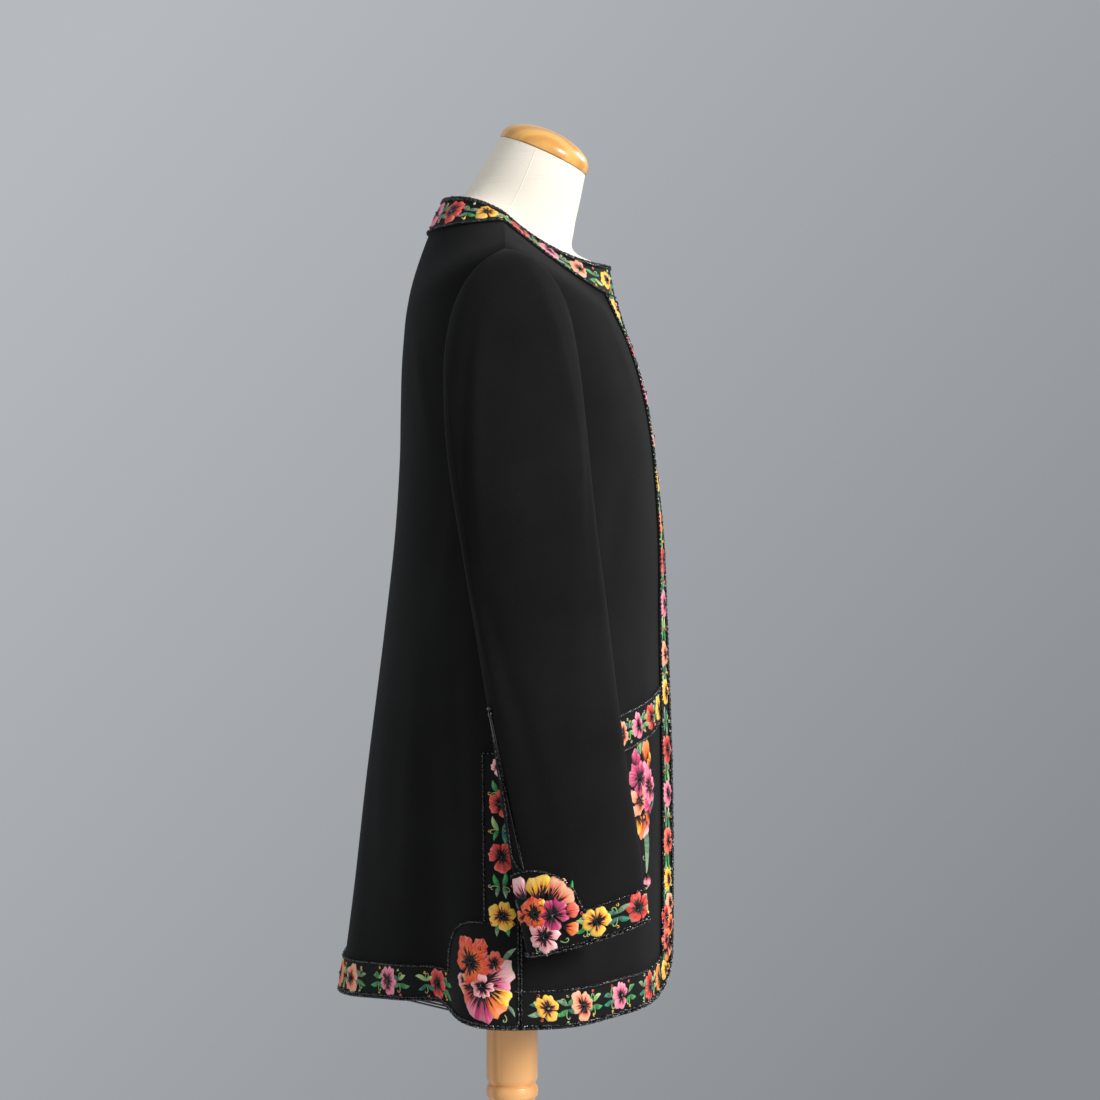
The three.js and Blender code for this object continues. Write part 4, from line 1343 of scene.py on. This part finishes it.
class Beadwork:
    """The beads of one band, in rows along its edges and in the hearts of its flowers."""

    def __init__(self, name, base=0.0):
        self.base = base
        self.spots = []
        self.chance = random.Random(name + " beads")

    def bead(self, at, radius, height):
        self.spots.append((at[0], at[1], height, radius, self.chance.uniform(0, math.pi)))

    def strung(self):
        """The mesh of all the beads, each a copy of one small ball, turned and moved to its spot."""
        mesh = bmesh.new()
        bmesh.ops.create_uvsphere(mesh, u_segments=6, v_segments=4, radius=1)
        ball = np.array([vert.co[:] for vert in mesh.verts])
        while len(mesh.verts) < len(ball) * len(self.spots):
            bmesh.ops.duplicate(mesh, geom=mesh.verts[:] + mesh.edges[:] + mesh.faces[:])
        mesh.verts.ensure_lookup_table()
        spare = mesh.verts[len(ball) * len(self.spots) :]
        bmesh.ops.delete(mesh, geom=spare, context="VERTS")
        x, y, height, radius, tip = (np.array(values)[:, None] for values in zip(*self.spots))
        across = ball[:, 0] * np.cos(tip) - ball[:, 2] * np.sin(tip)
        out = ball[:, 0] * np.sin(tip) + ball[:, 2] * np.cos(tip)
        places = np.stack([x + across * radius, y + ball[:, 1] * radius, height + out * radius], axis=-1)
        for vert, point in zip(mesh.verts, places.reshape(-1, 3)):
            vert.co = point
        return mesh

    def row(self, line, radius=1.05, pitch=2.2, stray=0.08):
        """Beads sewn one after another along a line of points."""
        line = np.array(line, float)
        far = np.concatenate([[0], np.cumsum(np.linalg.norm(np.diff(line, axis=0), axis=1))])
        count = max(int(far[-1] / pitch), 1)
        for stop in (np.arange(count) + 0.5) * far[-1] / count:
            x = np.interp(stop, far, line[:, 0]) + self.chance.uniform(-stray, stray)
            y = np.interp(stop, far, line[:, 1]) + self.chance.uniform(-stray, stray)
            size = radius * self.chance.uniform(0.9, 1.1)
            self.bead((x, y), size, self.base + size * 0.7 + self.chance.uniform(0, 0.15))

    def rim(self, line):
        """A thick double row along an outer edge. line gives the places that far in from the edge."""
        self.row(line(RIM_OUT), 1.25, 2.35, 0.22)
        self.row(line(RIM_IN), 1.15, 2.35, 0.3)


def laid(mesh, place, flip):
    """Moves a mesh that was drawn flat onto the cloth."""
    flat = np.array([vert.co[:] for vert in mesh.verts])
    for vert, point in zip(mesh.verts, place(flat[:, 0], flat[:, 1], flat[:, 2]) * MM):
        vert.co = point
    if flip:
        bmesh.ops.reverse_faces(mesh, faces=mesh.faces[:])
    mesh.normal_update()
    return mesh


# What is sewn on each band. Places along a band and up it are in the millimetres of the flat cloth.
HEM_MIDDLE = 18.0
FLOWER = ("place", "dye", "size")
STITCHED = ("a", "up", "kind", "angle", "size", "dye")


def upright(a):
    """Where a garland that climbs a band is, and its heading."""
    return lambda z: ((a, z), 90)


def level(z):
    return lambda a: ((a, z), 0)


FRONT_FLOWERS = listed(
    FLOWER,
    (1318, "yellow", 11),
    (1278, "red", 12.5),
    (1235, "pink", 12.5),
    (1192, "peach", 12.5),
    (1150, "yellow", 13),
    (1108, "orange", 11),
    (1070, "red", 13.5),
    (1026, "pink", 13),
    (977, "peach", 13.5),
    (938, "yellow", 12.5),
    (883, "red", 14),
    (839, "pink", 13),
    (790, "coral", 13.5),
    (752, "yellow", 11),
)
CORNER_BOUQUET = listed(
    STITCHED,
    (12, 726, "leaf", 130, 26, "green"),
    (24, 726, "leaf", 60, 22, "teal"),
    (9, 700, "curl", 200, 14, "pale green"),
    (26, 690, "curl", -40, 14, "pale green"),
    (12, 729, "pansy", 10, 12, "peach"),
    (25, 716, "pansy", -20, 12.5, "red"),
    (11, 707, "pansy", 25, 12, "orange"),
    (25, 695, "pansy", 5, 11.5, "coral"),
    (13, 690, "petal", -110, 15, "peach"),
    (17, 684, "petal", -80, 13, "orange"),
    (24, 682, "leaf", -70, 18, "green"),
    (27, 664, "pansy", 15, 10.5, "yellow"),
    (19, 668, "petal", 200, 9, "yellow"),
    (40, 660, "leaf", 20, 18, "teal"),
)
HEM_FRONT_FLOWERS = listed(
    FLOWER,
    (75, "orange", 12),
    (122, "red", 13.5),
    (192, "pink", 13),
    (257, "peach", 13.5),
    (296, "yellow", 11),
)
HEM_BACK_FLOWERS = listed(
    FLOWER,
    (117, "red", 13.5),
    (190, "pink", 13.5),
    (263, "peach", 13.5),
    (304, "orange", 13),
)
SCALLOP_BOUQUET = listed(
    STITCHED,
    (15, 60, "leaf", 115, 18, "grey green"),
    (13, 52, "curl", 160, 14, "pale green"),
    (12, 22, "leaf", 215, 13, "grey green"),
    (14, 14, "curl", 235, 12, "pale green"),
    (62, 46, "leaf", 60, 16, "green"),
    (54, 62, "petal", 60, 17, "flame"),
    (38, 62, "petal", 100, 18, "flame"),
    (50, 40, "petal", -15, 18, "pale pink"),
    (40, 36, "petal", -4, 24, "peach"),
    (38, 35, "petal", -42, 23, "coral"),
    (36, 34, "petal", -70, 27, "pink"),
    (34, 34, "petal", -94, 29, "magenta"),
    (32, 36, "petal", -122, 28, "orange"),
    (30, 37, "petal", -148, 25, "yellow"),
    (33, 40, "petal", 172, 26, "pink"),
    (33, 42, "petal", 150, 31, "pale pink"),
    (23, 58, "pansy", 40, 11, "coral"),
    (34, 37, "pansy", 180, 14, "pale pink"),
    (46, 56, "pansy", 0, 23, "flame"),
)
VENT_FLOWERS = listed(
    FLOWER,
    (745, "yellow", 12.5),
    (799, "red", 13),
    (846, "red", 12),
    (880, "pale pink", 9),
)
NECK_FLOWERS = listed(
    FLOWER,
    (22, "yellow", 10),
    (67, "peach", 12),
    (105, "pink", 12.5),
    (140, "red", 12.5),
    (178, "yellow", 12),
    (217, "red", 12.5),
    (251, "pink", 12),
)
CUFF_BOUQUET = listed(
    STITCHED,
    (-14, 44, "leaf", 140, 24, "teal"),
    (-16, 30, "curl", 170, 18, "pale green"),
    (34, 46, "leaf", 40, 16, "green"),
    (0, 12, "curl", -120, 14, "pale green"),
    (22, 10, "curl", -40, 14, "pale green"),
    (-18, 18, "leaf", 200, 20, "green"),
    (-2, 50, "petal", 118, 25, "pale pink"),
    (9, 48, "petal", 96, 23, "yellow"),
    (13, 50, "petal", 76, 22, "yellow"),
    (18, 46, "petal", 52, 24, "peach"),
    (22, 42, "petal", 26, 22, "peach"),
    (26, 34, "petal", 0, 18, "coral"),
    (-4, 36, "petal", 175, 15, "orange"),
    (26, 22, "petal", -25, 16, "orange"),
    (3, 38, "pansy", 20, 16, "flame"),
    (20, 34, "pansy", -15, 16, "magenta"),
    (9, 17, "pansy", 5, 16, "pale pink"),
    (12, 40, "petal", 95, 10, "yellow"),
)
CUFF_FRONT_FLOWERS = listed(
    FLOWER,
    (56, "yellow", 12.5),
    (96, "red", 12.5),
)
CUFF_BACK_FLOWERS = listed(
    FLOWER,
    (-118, "peach", 12),
    (-82, "pink", 12),
    (-48, "orange", 11.5),
)
POCKET_FLOWERS = listed(
    FLOWER,
    (60, "yellow", 12),
    (97, "red", 12.5),
    (132, "pink", 12.5),
    (168, "peach", 12.5),
)
POCKET_BOUQUET = listed(
    STITCHED,
    (124, 884, "leaf", 80, 26, "pale green"),
    (112, 882, "leaf", 55, 24, "grey green"),
    (140, 876, "leaf", 120, 24, "teal"),
    (134, 884, "curl", 100, 22, "pale green"),
    (102, 874, "curl", 60, 20, "pale green"),
    (86, 846, "leaf", -60, 30, "teal"),
    (154, 846, "leaf", 190, 20, "green"),
    (119, 822, "leaf", -110, 56, "grey green"),
    (120, 808, "curl", -30, 18, "grey green"),
    (118, 796, "curl", 225, 18, "grey green"),
    (119, 784, "curl", -20, 15, "grey green"),
    (112, 872, "petal", 95, 26, "orange"),
    (102, 868, "petal", 70, 22, "yellow"),
    (98, 862, "petal", 25, 26, "pink"),
    (94, 852, "petal", -5, 27, "pink"),
    (98, 842, "petal", -35, 24, "magenta"),
    (144, 868, "petal", 120, 24, "magenta"),
    (150, 852, "petal", 175, 26, "peach"),
    (152, 842, "petal", 200, 26, "peach"),
    (142, 830, "petal", 235, 24, "yellow"),
    (132, 828, "petal", -105, 25, "orange"),
    (120, 828, "petal", -88, 24, "pale pink"),
    (110, 832, "petal", -60, 22, "orange"),
    (134, 862, "pansy", 10, 20, "magenta"),
    (110, 852, "pansy", -20, 20, "pink"),
    (136, 842, "pansy", 20, 18, "peach"),
    (118, 770, "petal", -105, 14, "pink"),
    (121, 770, "petal", -75, 14, "pink"),
    (119, 771, "petal", -90, 15, "pale pink"),
)
POCKET_TRAILS = listed(
    ("from_a", "from_up", "to_a", "to_up", "bend"),
    (110, 858, 90, 868, 3),
    (108, 852, 86, 856, -2),
    (110, 846, 92, 840, -3),
    (106, 862, 100, 880, 2),
    (138, 838, 158, 832, 2),
    (132, 836, 136, 816, 2),
    (140, 850, 162, 852, 2),
)
# The line of beads up the back of a sleeve, and the cluster at its top.
SLEEVE_LINE = (
    (-15, 224),
    (-14.4, 205),
    (-13.5, 180),
    (-10.5, 144),
    (-11.5, 112),
    (-12, 91),
    (-6, 80),
    (0, 77),
)
SLEEVE_CLUSTER = (
    (-15, 224),
    (-12.6, 226),
    (-17.2, 226.4),
    (-14.8, 228.6),
    (-12.4, 221.8),
    (-17.4, 221.6),
    (-14.6, 219),
)
SCALLOP_TOP = HEM_Z + BAND_WIDE + SCALLOP_R


def corner_line(inset):
    """The round of the front's lower corner, that far in from its edge."""
    reach = FRONT_CORNER_R - inset
    centre = (CENTRE_GAP + FRONT_CORNER_R, HEM_Z + FRONT_CORNER_R)
    return [turn(centre, math.radians(way), reach) for way in range(180, 271, 6)]


def sewn_front():
    work = Needlework("front band")
    middle = upright(BAND_WIDE / 2)
    work.garland(FRONT_FLOWERS[:-1], middle, 1332, 770, 14)
    work.garland(FRONT_FLOWERS[-1:], middle, 770, 744, 14)
    work.bouquet(CORNER_BOUQUET)
    beads = work.beads
    top = FRONT_BAND_TOP - 2
    beads.row([(BAND_WIDE - IN, HEM_Z + BAND_WIDE + IN), (BAND_WIDE - IN, top)])
    low = HEM_Z + FRONT_CORNER_R
    beads.rim(lambda inset: [(CENTRE_GAP + inset, top), (CENTRE_GAP + inset, low)])
    return work


def sewn_hem_front():
    work = Needlework("hem band")
    work.garland(HEM_FRONT_FLOWERS, level(HEM_Z + HEM_MIDDLE), 54, 306, 14)
    beads = work.beads
    far = float(front_ruler.full(np.array([0.0]))[0]) - RIM_OUT
    beads.row([(BAND_WIDE - IN, HEM_Z + BAND_WIDE - IN), (far, HEM_Z + BAND_WIDE - IN)])
    beads.rim(lambda inset: [*corner_line(inset), (far, HEM_Z + inset)])
    heights = np.linspace(HEM_Z + 5, VENT_TOP_Z, 12)
    beads.row(list(zip(front_ruler.full(ring_at(heights)) - 1.4, heights)))
    return work


def sewn_hem_back():
    """One half of the back's hem band. The same work is laid on both halves."""
    work = Needlework("hem band back")
    work.garland(HEM_BACK_FLOWERS, level(HEM_Z + HEM_MIDDLE), 84, 338, 14)
    work.bouquet([{**row, "up": HEM_Z + row["up"]} for row in SCALLOP_BOUQUET])
    beads = work.beads
    line = np.linspace(VENT_BAND_WIDE, BACK_HALF, 90)
    beads.row([(a, HEM_Z + float(scallop_top(a)) - IN) for a in line])
    beads.rim(lambda inset: [(IN, HEM_Z + inset), (BACK_HALF, HEM_Z + inset)])
    beads.row([(IN, HEM_Z + 5), (IN, SCALLOP_TOP)])
    return work


def sewn_vent():
    work = Needlework("vent band")
    middle = 16
    work.garland(VENT_FLOWERS[:-1], upright(middle), 733, 868, 13)
    top_flower = VENT_FLOWERS[-1]
    work.pansy((middle, top_flower["place"]), top_flower["size"], top_flower["dye"])
    far = VENT_BAND_WIDE - IN
    top = VENT_BAND_TOP_Z - IN
    work.beads.row([(far, SCALLOP_TOP), (far, top), (IN, top)])
    work.beads.row([(IN, SCALLOP_TOP), (IN, VENT_BAND_TOP_Z - 3)])
    return work


def sewn_neck():
    work = Needlework("neck band")
    work.garland(NECK_FLOWERS, level(BAND_WIDE / 2), 8, NECK_HALF, 13)
    work.beads.row([(IN, IN), (NECK_HALF, IN)])
    work.beads.rim(lambda inset: [(IN, BAND_WIDE - inset), (NECK_HALF, BAND_WIDE - inset)])
    return work


def sewn_cuff():
    work = Needlework("cuff band")
    middle = level(CUFF_BAND_WIDE / 2 + 1)
    work.garland(CUFF_FRONT_FLOWERS, middle, 38, CUFF_AHEAD, 13)
    work.garland(CUFF_BACK_FLOWERS, middle, -CUFF_BEHIND, -28, 13)
    work.bouquet(CUFF_BOUQUET)
    line = np.linspace(-CUFF_BEHIND, CUFF_AHEAD, 130)
    work.beads.row(list(zip(line, arch_top(line) - IN)))
    work.beads.rim(lambda inset: [(a, inset) for a in line])
    return work


def sewn_sleeve():
    """The line of beads that runs up the sleeve from the point of the arch to a small cluster."""
    work = Beadwork("sleeve line")
    work.row(SLEEVE_LINE, 1.1, 2.4, 0.15)
    for spot in SLEEVE_CLUSTER:
        work.bead(spot, 1.5, 1.1)
    return work


def sewn_pocket():
    work = Needlework("pocket band")
    slope = math.degrees(math.atan2(POCKET["to_z"] - POCKET["from_z"], POCKET["to"] - POCKET["from"]))

    def along_middle(a):
        return (a, float(pocket_top(a)) - POCKET["tall"] / 2), slope

    work.garland(POCKET_FLOWERS, along_middle, POCKET["from"] + 3, POCKET["to"] - 3, 13)
    first = POCKET["from"] + IN
    last = POCKET["to"] - IN
    low = POCKET["tall"] - IN
    corners = [(first, IN), (last, IN), (last, low), (first, low), (first, IN)]
    work.beads.row([(a, float(pocket_top(a)) - down) for a, down in corners])
    return work


def sewn_bouquet():
    """The bunch of flowers under the pocket, sewn straight on the wool."""
    work = Needlework("pocket bouquet", 0)
    work.bouquet(POCKET_BOUQUET)
    for row in POCKET_TRAILS:
        shares = np.linspace(0, 1, 9)
        a = mix(row["from_a"], row["to_a"], shares)
        up = mix(row["from_up"], row["to_up"], shares) + row["bend"] * np.sin(math.pi * shares)
        work.beads.row(list(zip(a, up)), 0.9, 2.1)
    return work


def sewn_on(name, work, place, flip):
    """Lays some needlework on the cloth, its floss and its beads as two pieces, or beads alone as one."""
    parts = []
    if isinstance(work, Needlework):
        parts.append(finished(laid(work.mesh, place, flip), name + "_floss", "floss", sharp=math.pi))
        work = work.beads
    parts.append(finished(laid(work.strung(), place, flip), name + "_beads", "beads", sharp=math.pi))
    return parts


def on_back_half(side):
    """The back, from one side seam to the middle and a little past it."""
    return lambda a, up, height: on_back(np.maximum(a, 0.001) * side, up, height)


form = finished(form_torso(), "form", "form_cover", "form_torso")
for name, side in SIDES.items():
    finished(neck_seam(side), f"neck_seam_{name}", "form_cover")
finished(neck_cap(), "cap", "cap_wood", "neck_cap")
finished(pole(), "stand_pole", "pole_wood", "pole")
finished(foot(), "stand_foot", "pole_wood", "foot", look=FOOT_WOOD)

# The pieces of cloth, and what is sewn on each, by node.
sewn = {}


def cut_out(mesh, node, slot="band_cloth"):
    finished(mesh, node + "_cloth", slot, node)
    sewn[node] = []


cut_out(cloth_back(), "back", "wool_cloth")
cut_out(hem_band_back(), "hem_band_back")
cut_out(neck_band(), "neck_band")
for name, side in SIDES.items():
    flip = side == RIGHT
    cut_out(cloth_front(side), "front_" + name, "wool_cloth")
    top = "top_sleeve_" + name
    cut_out(cloth_sleeve(side, BACK_SEAM, FRONT_SEAM), top, "wool_cloth")
    cut_out(cloth_sleeve(side, FRONT_SEAM, BACK_SEAM + FULL_TURN), "under_sleeve_" + name, "wool_cloth")
    sewn[top] += sewn_on(f"sleeve_line_{name}", sewn_sleeve(), on_sleeve(side), not flip)
    for kind, shape, work, place in (
        ("front_band", front_band, sewn_front, on_front(side)),
        ("hem_band", hem_band_front, sewn_hem_front, on_front(side)),
        ("vent_band", vent_band, sewn_vent, on_back_half(side)),
        ("cuff_band", cuff_band, sewn_cuff, on_sleeve(side)),
        ("pocket_band", pocket_band, sewn_pocket, on_front(side)),
    ):
        node = f"{kind}_{name}"
        cut_out(shape(side), node)
        sewn[node] += sewn_on(node, work(), place, flip != (kind == "cuff_band"))
    sewn["front_" + name] += sewn_on(f"pocket_bouquet_{name}", sewn_bouquet(), on_front(side), flip)
    sewn["hem_band_back"] += sewn_on(f"hem_band_back_{name}", sewn_hem_back(), on_back_half(side), flip)
    sewn["neck_band"] += sewn_on(f"neck_band_{name}", sewn_neck(), on_neck(side), flip)


# The room: a pale floor that the stand is on, soft lights, and a camera level with the jacket.
FLOOR_R = 2.35
# The backdrop is darker towards the floor and the front of the jacket.
ROOM = {"fall": 0.9, "near": -0.31, "far": 0.31, "dark": linear(136, 140, 144), "pale": linear(182, 186, 190)}
# The lights point at the chest.
CHEST = (0, -0.02, 1.05)
LIGHTS = listed(
    ("name", "place", "size", "power", "tint"),
    ("key", (-2.3, -2.9, 2.3), 1.3, 168, (1.0, 0.985, 0.96)),
    ("side", (-3.0, 1.7, 2.2), 1.6, 14, (1.0, 0.97, 0.92)),
    ("rim", (1.5, -1.9, 2.4), 0.8, 26, (0.96, 0.98, 1.0)),
)
CAMERA = {"lens": 91.636, "sensor": 36, "place": (-2.8, -0.038, 1.08)}


def make_floor():
    look = Finish(bpy.data.materials.new("floor"))
    grain = look.noise(look.object_place(), 40, 3, 0.6)
    look.give(base_color=look.blend(grain, (0.45, 0.46, 0.47), (0.50, 0.51, 0.52)), roughness=0.8)
    mesh = bmesh.new()
    bmesh.ops.create_circle(mesh, cap_ends=True, segments=96, radius=FLOOR_R)
    floor = meshed(mesh, "floor", look.owner)


def make_light(row):
    light = bpy.data.lights.new(row["name"], "AREA")
    light.shape = "DISK"
    light.size = row["size"]
    light.energy = row["power"]
    light.color = row["tint"]
    lamp = stand(row["name"], light)
    lamp.location = row["place"]
    lamp.rotation_euler = (Vector(CHEST) - Vector(row["place"])).to_track_quat("-Z", "Y").to_euler()


def make_room():
    world = bpy.data.worlds.new("room")
    bpy.context.scene.world = world
    room = Finish(world, "BACKGROUND")
    _, y, z = room.split(room.node("ShaderNodeTexCoord"))
    slope = room.node("ShaderNodeMapRange", {}, [z * ROOM["fall"] + y, ROOM["near"], ROOM["far"]])
    room.give(color=room.blend(slope, ROOM["dark"], ROOM["pale"]))


def make_camera():
    """A camera level with the jacket that looks at its right side."""
    lens = bpy.data.cameras.new("camera")
    lens.lens = CAMERA["lens"]
    lens.sensor_width = CAMERA["sensor"]
    camera = stand("camera", lens)
    camera.location = CAMERA["place"]
    camera.rotation_euler = (RIGHT_ANGLE, 0, -RIGHT_ANGLE)
    bpy.context.scene.camera = camera
    bpy.context.scene.view_settings.view_transform = "Standard"


make_floor()
make_room()
for row in LIGHTS:
    make_light(row)
make_camera()

# The cloth as it was cut: its widest and longest in millimetres and its area in square centimetres. rests_on
# names what it hangs from or lies on. Each side's name takes the place of the *.
CUTS = listed(
    ("node", "wide", "long", "area", "held", "rests_on"),
    ("back", 690, 898, 3970, "hung", ("form",)),
    ("front_*", 316, 898, 1990, "hung", ("form",)),
    ("top_sleeve_*", 260, 670, 950, "hung", ("front_*", "back")),
    ("under_sleeve_*", 254, 628, 725, "hung", ("front_*", "back")),
    ("hem_band_back", 722, 97, 336, "laid", ("back",)),
    ("neck_band", 631, 39, 196, "laid", ("back", "front_left", "front_right")),
    ("front_band_*", 35, 661, 229, "laid", ("front_*",)),
    ("hem_band_*", 318, 59, 110, "laid", ("front_*",)),
    ("vent_band_*", 34, 155, 52, "laid", ("back",)),
    ("cuff_band_*", 259, 78, 121, "laid", ("top_sleeve_*", "under_sleeve_*")),
    ("pocket_band_*", 141, 37, 51, "laid", ("front_*",)),
)
CM2_IN_M2 = 10000

for cut in CUTS:
    for name in SIDES if "*" in cut["node"] else ("",):
        node = cut["node"].replace("*", name)
        flat = (cut["wide"] * MM, cut["long"] * MM)
        area = cut["area"] / CM2_IN_M2
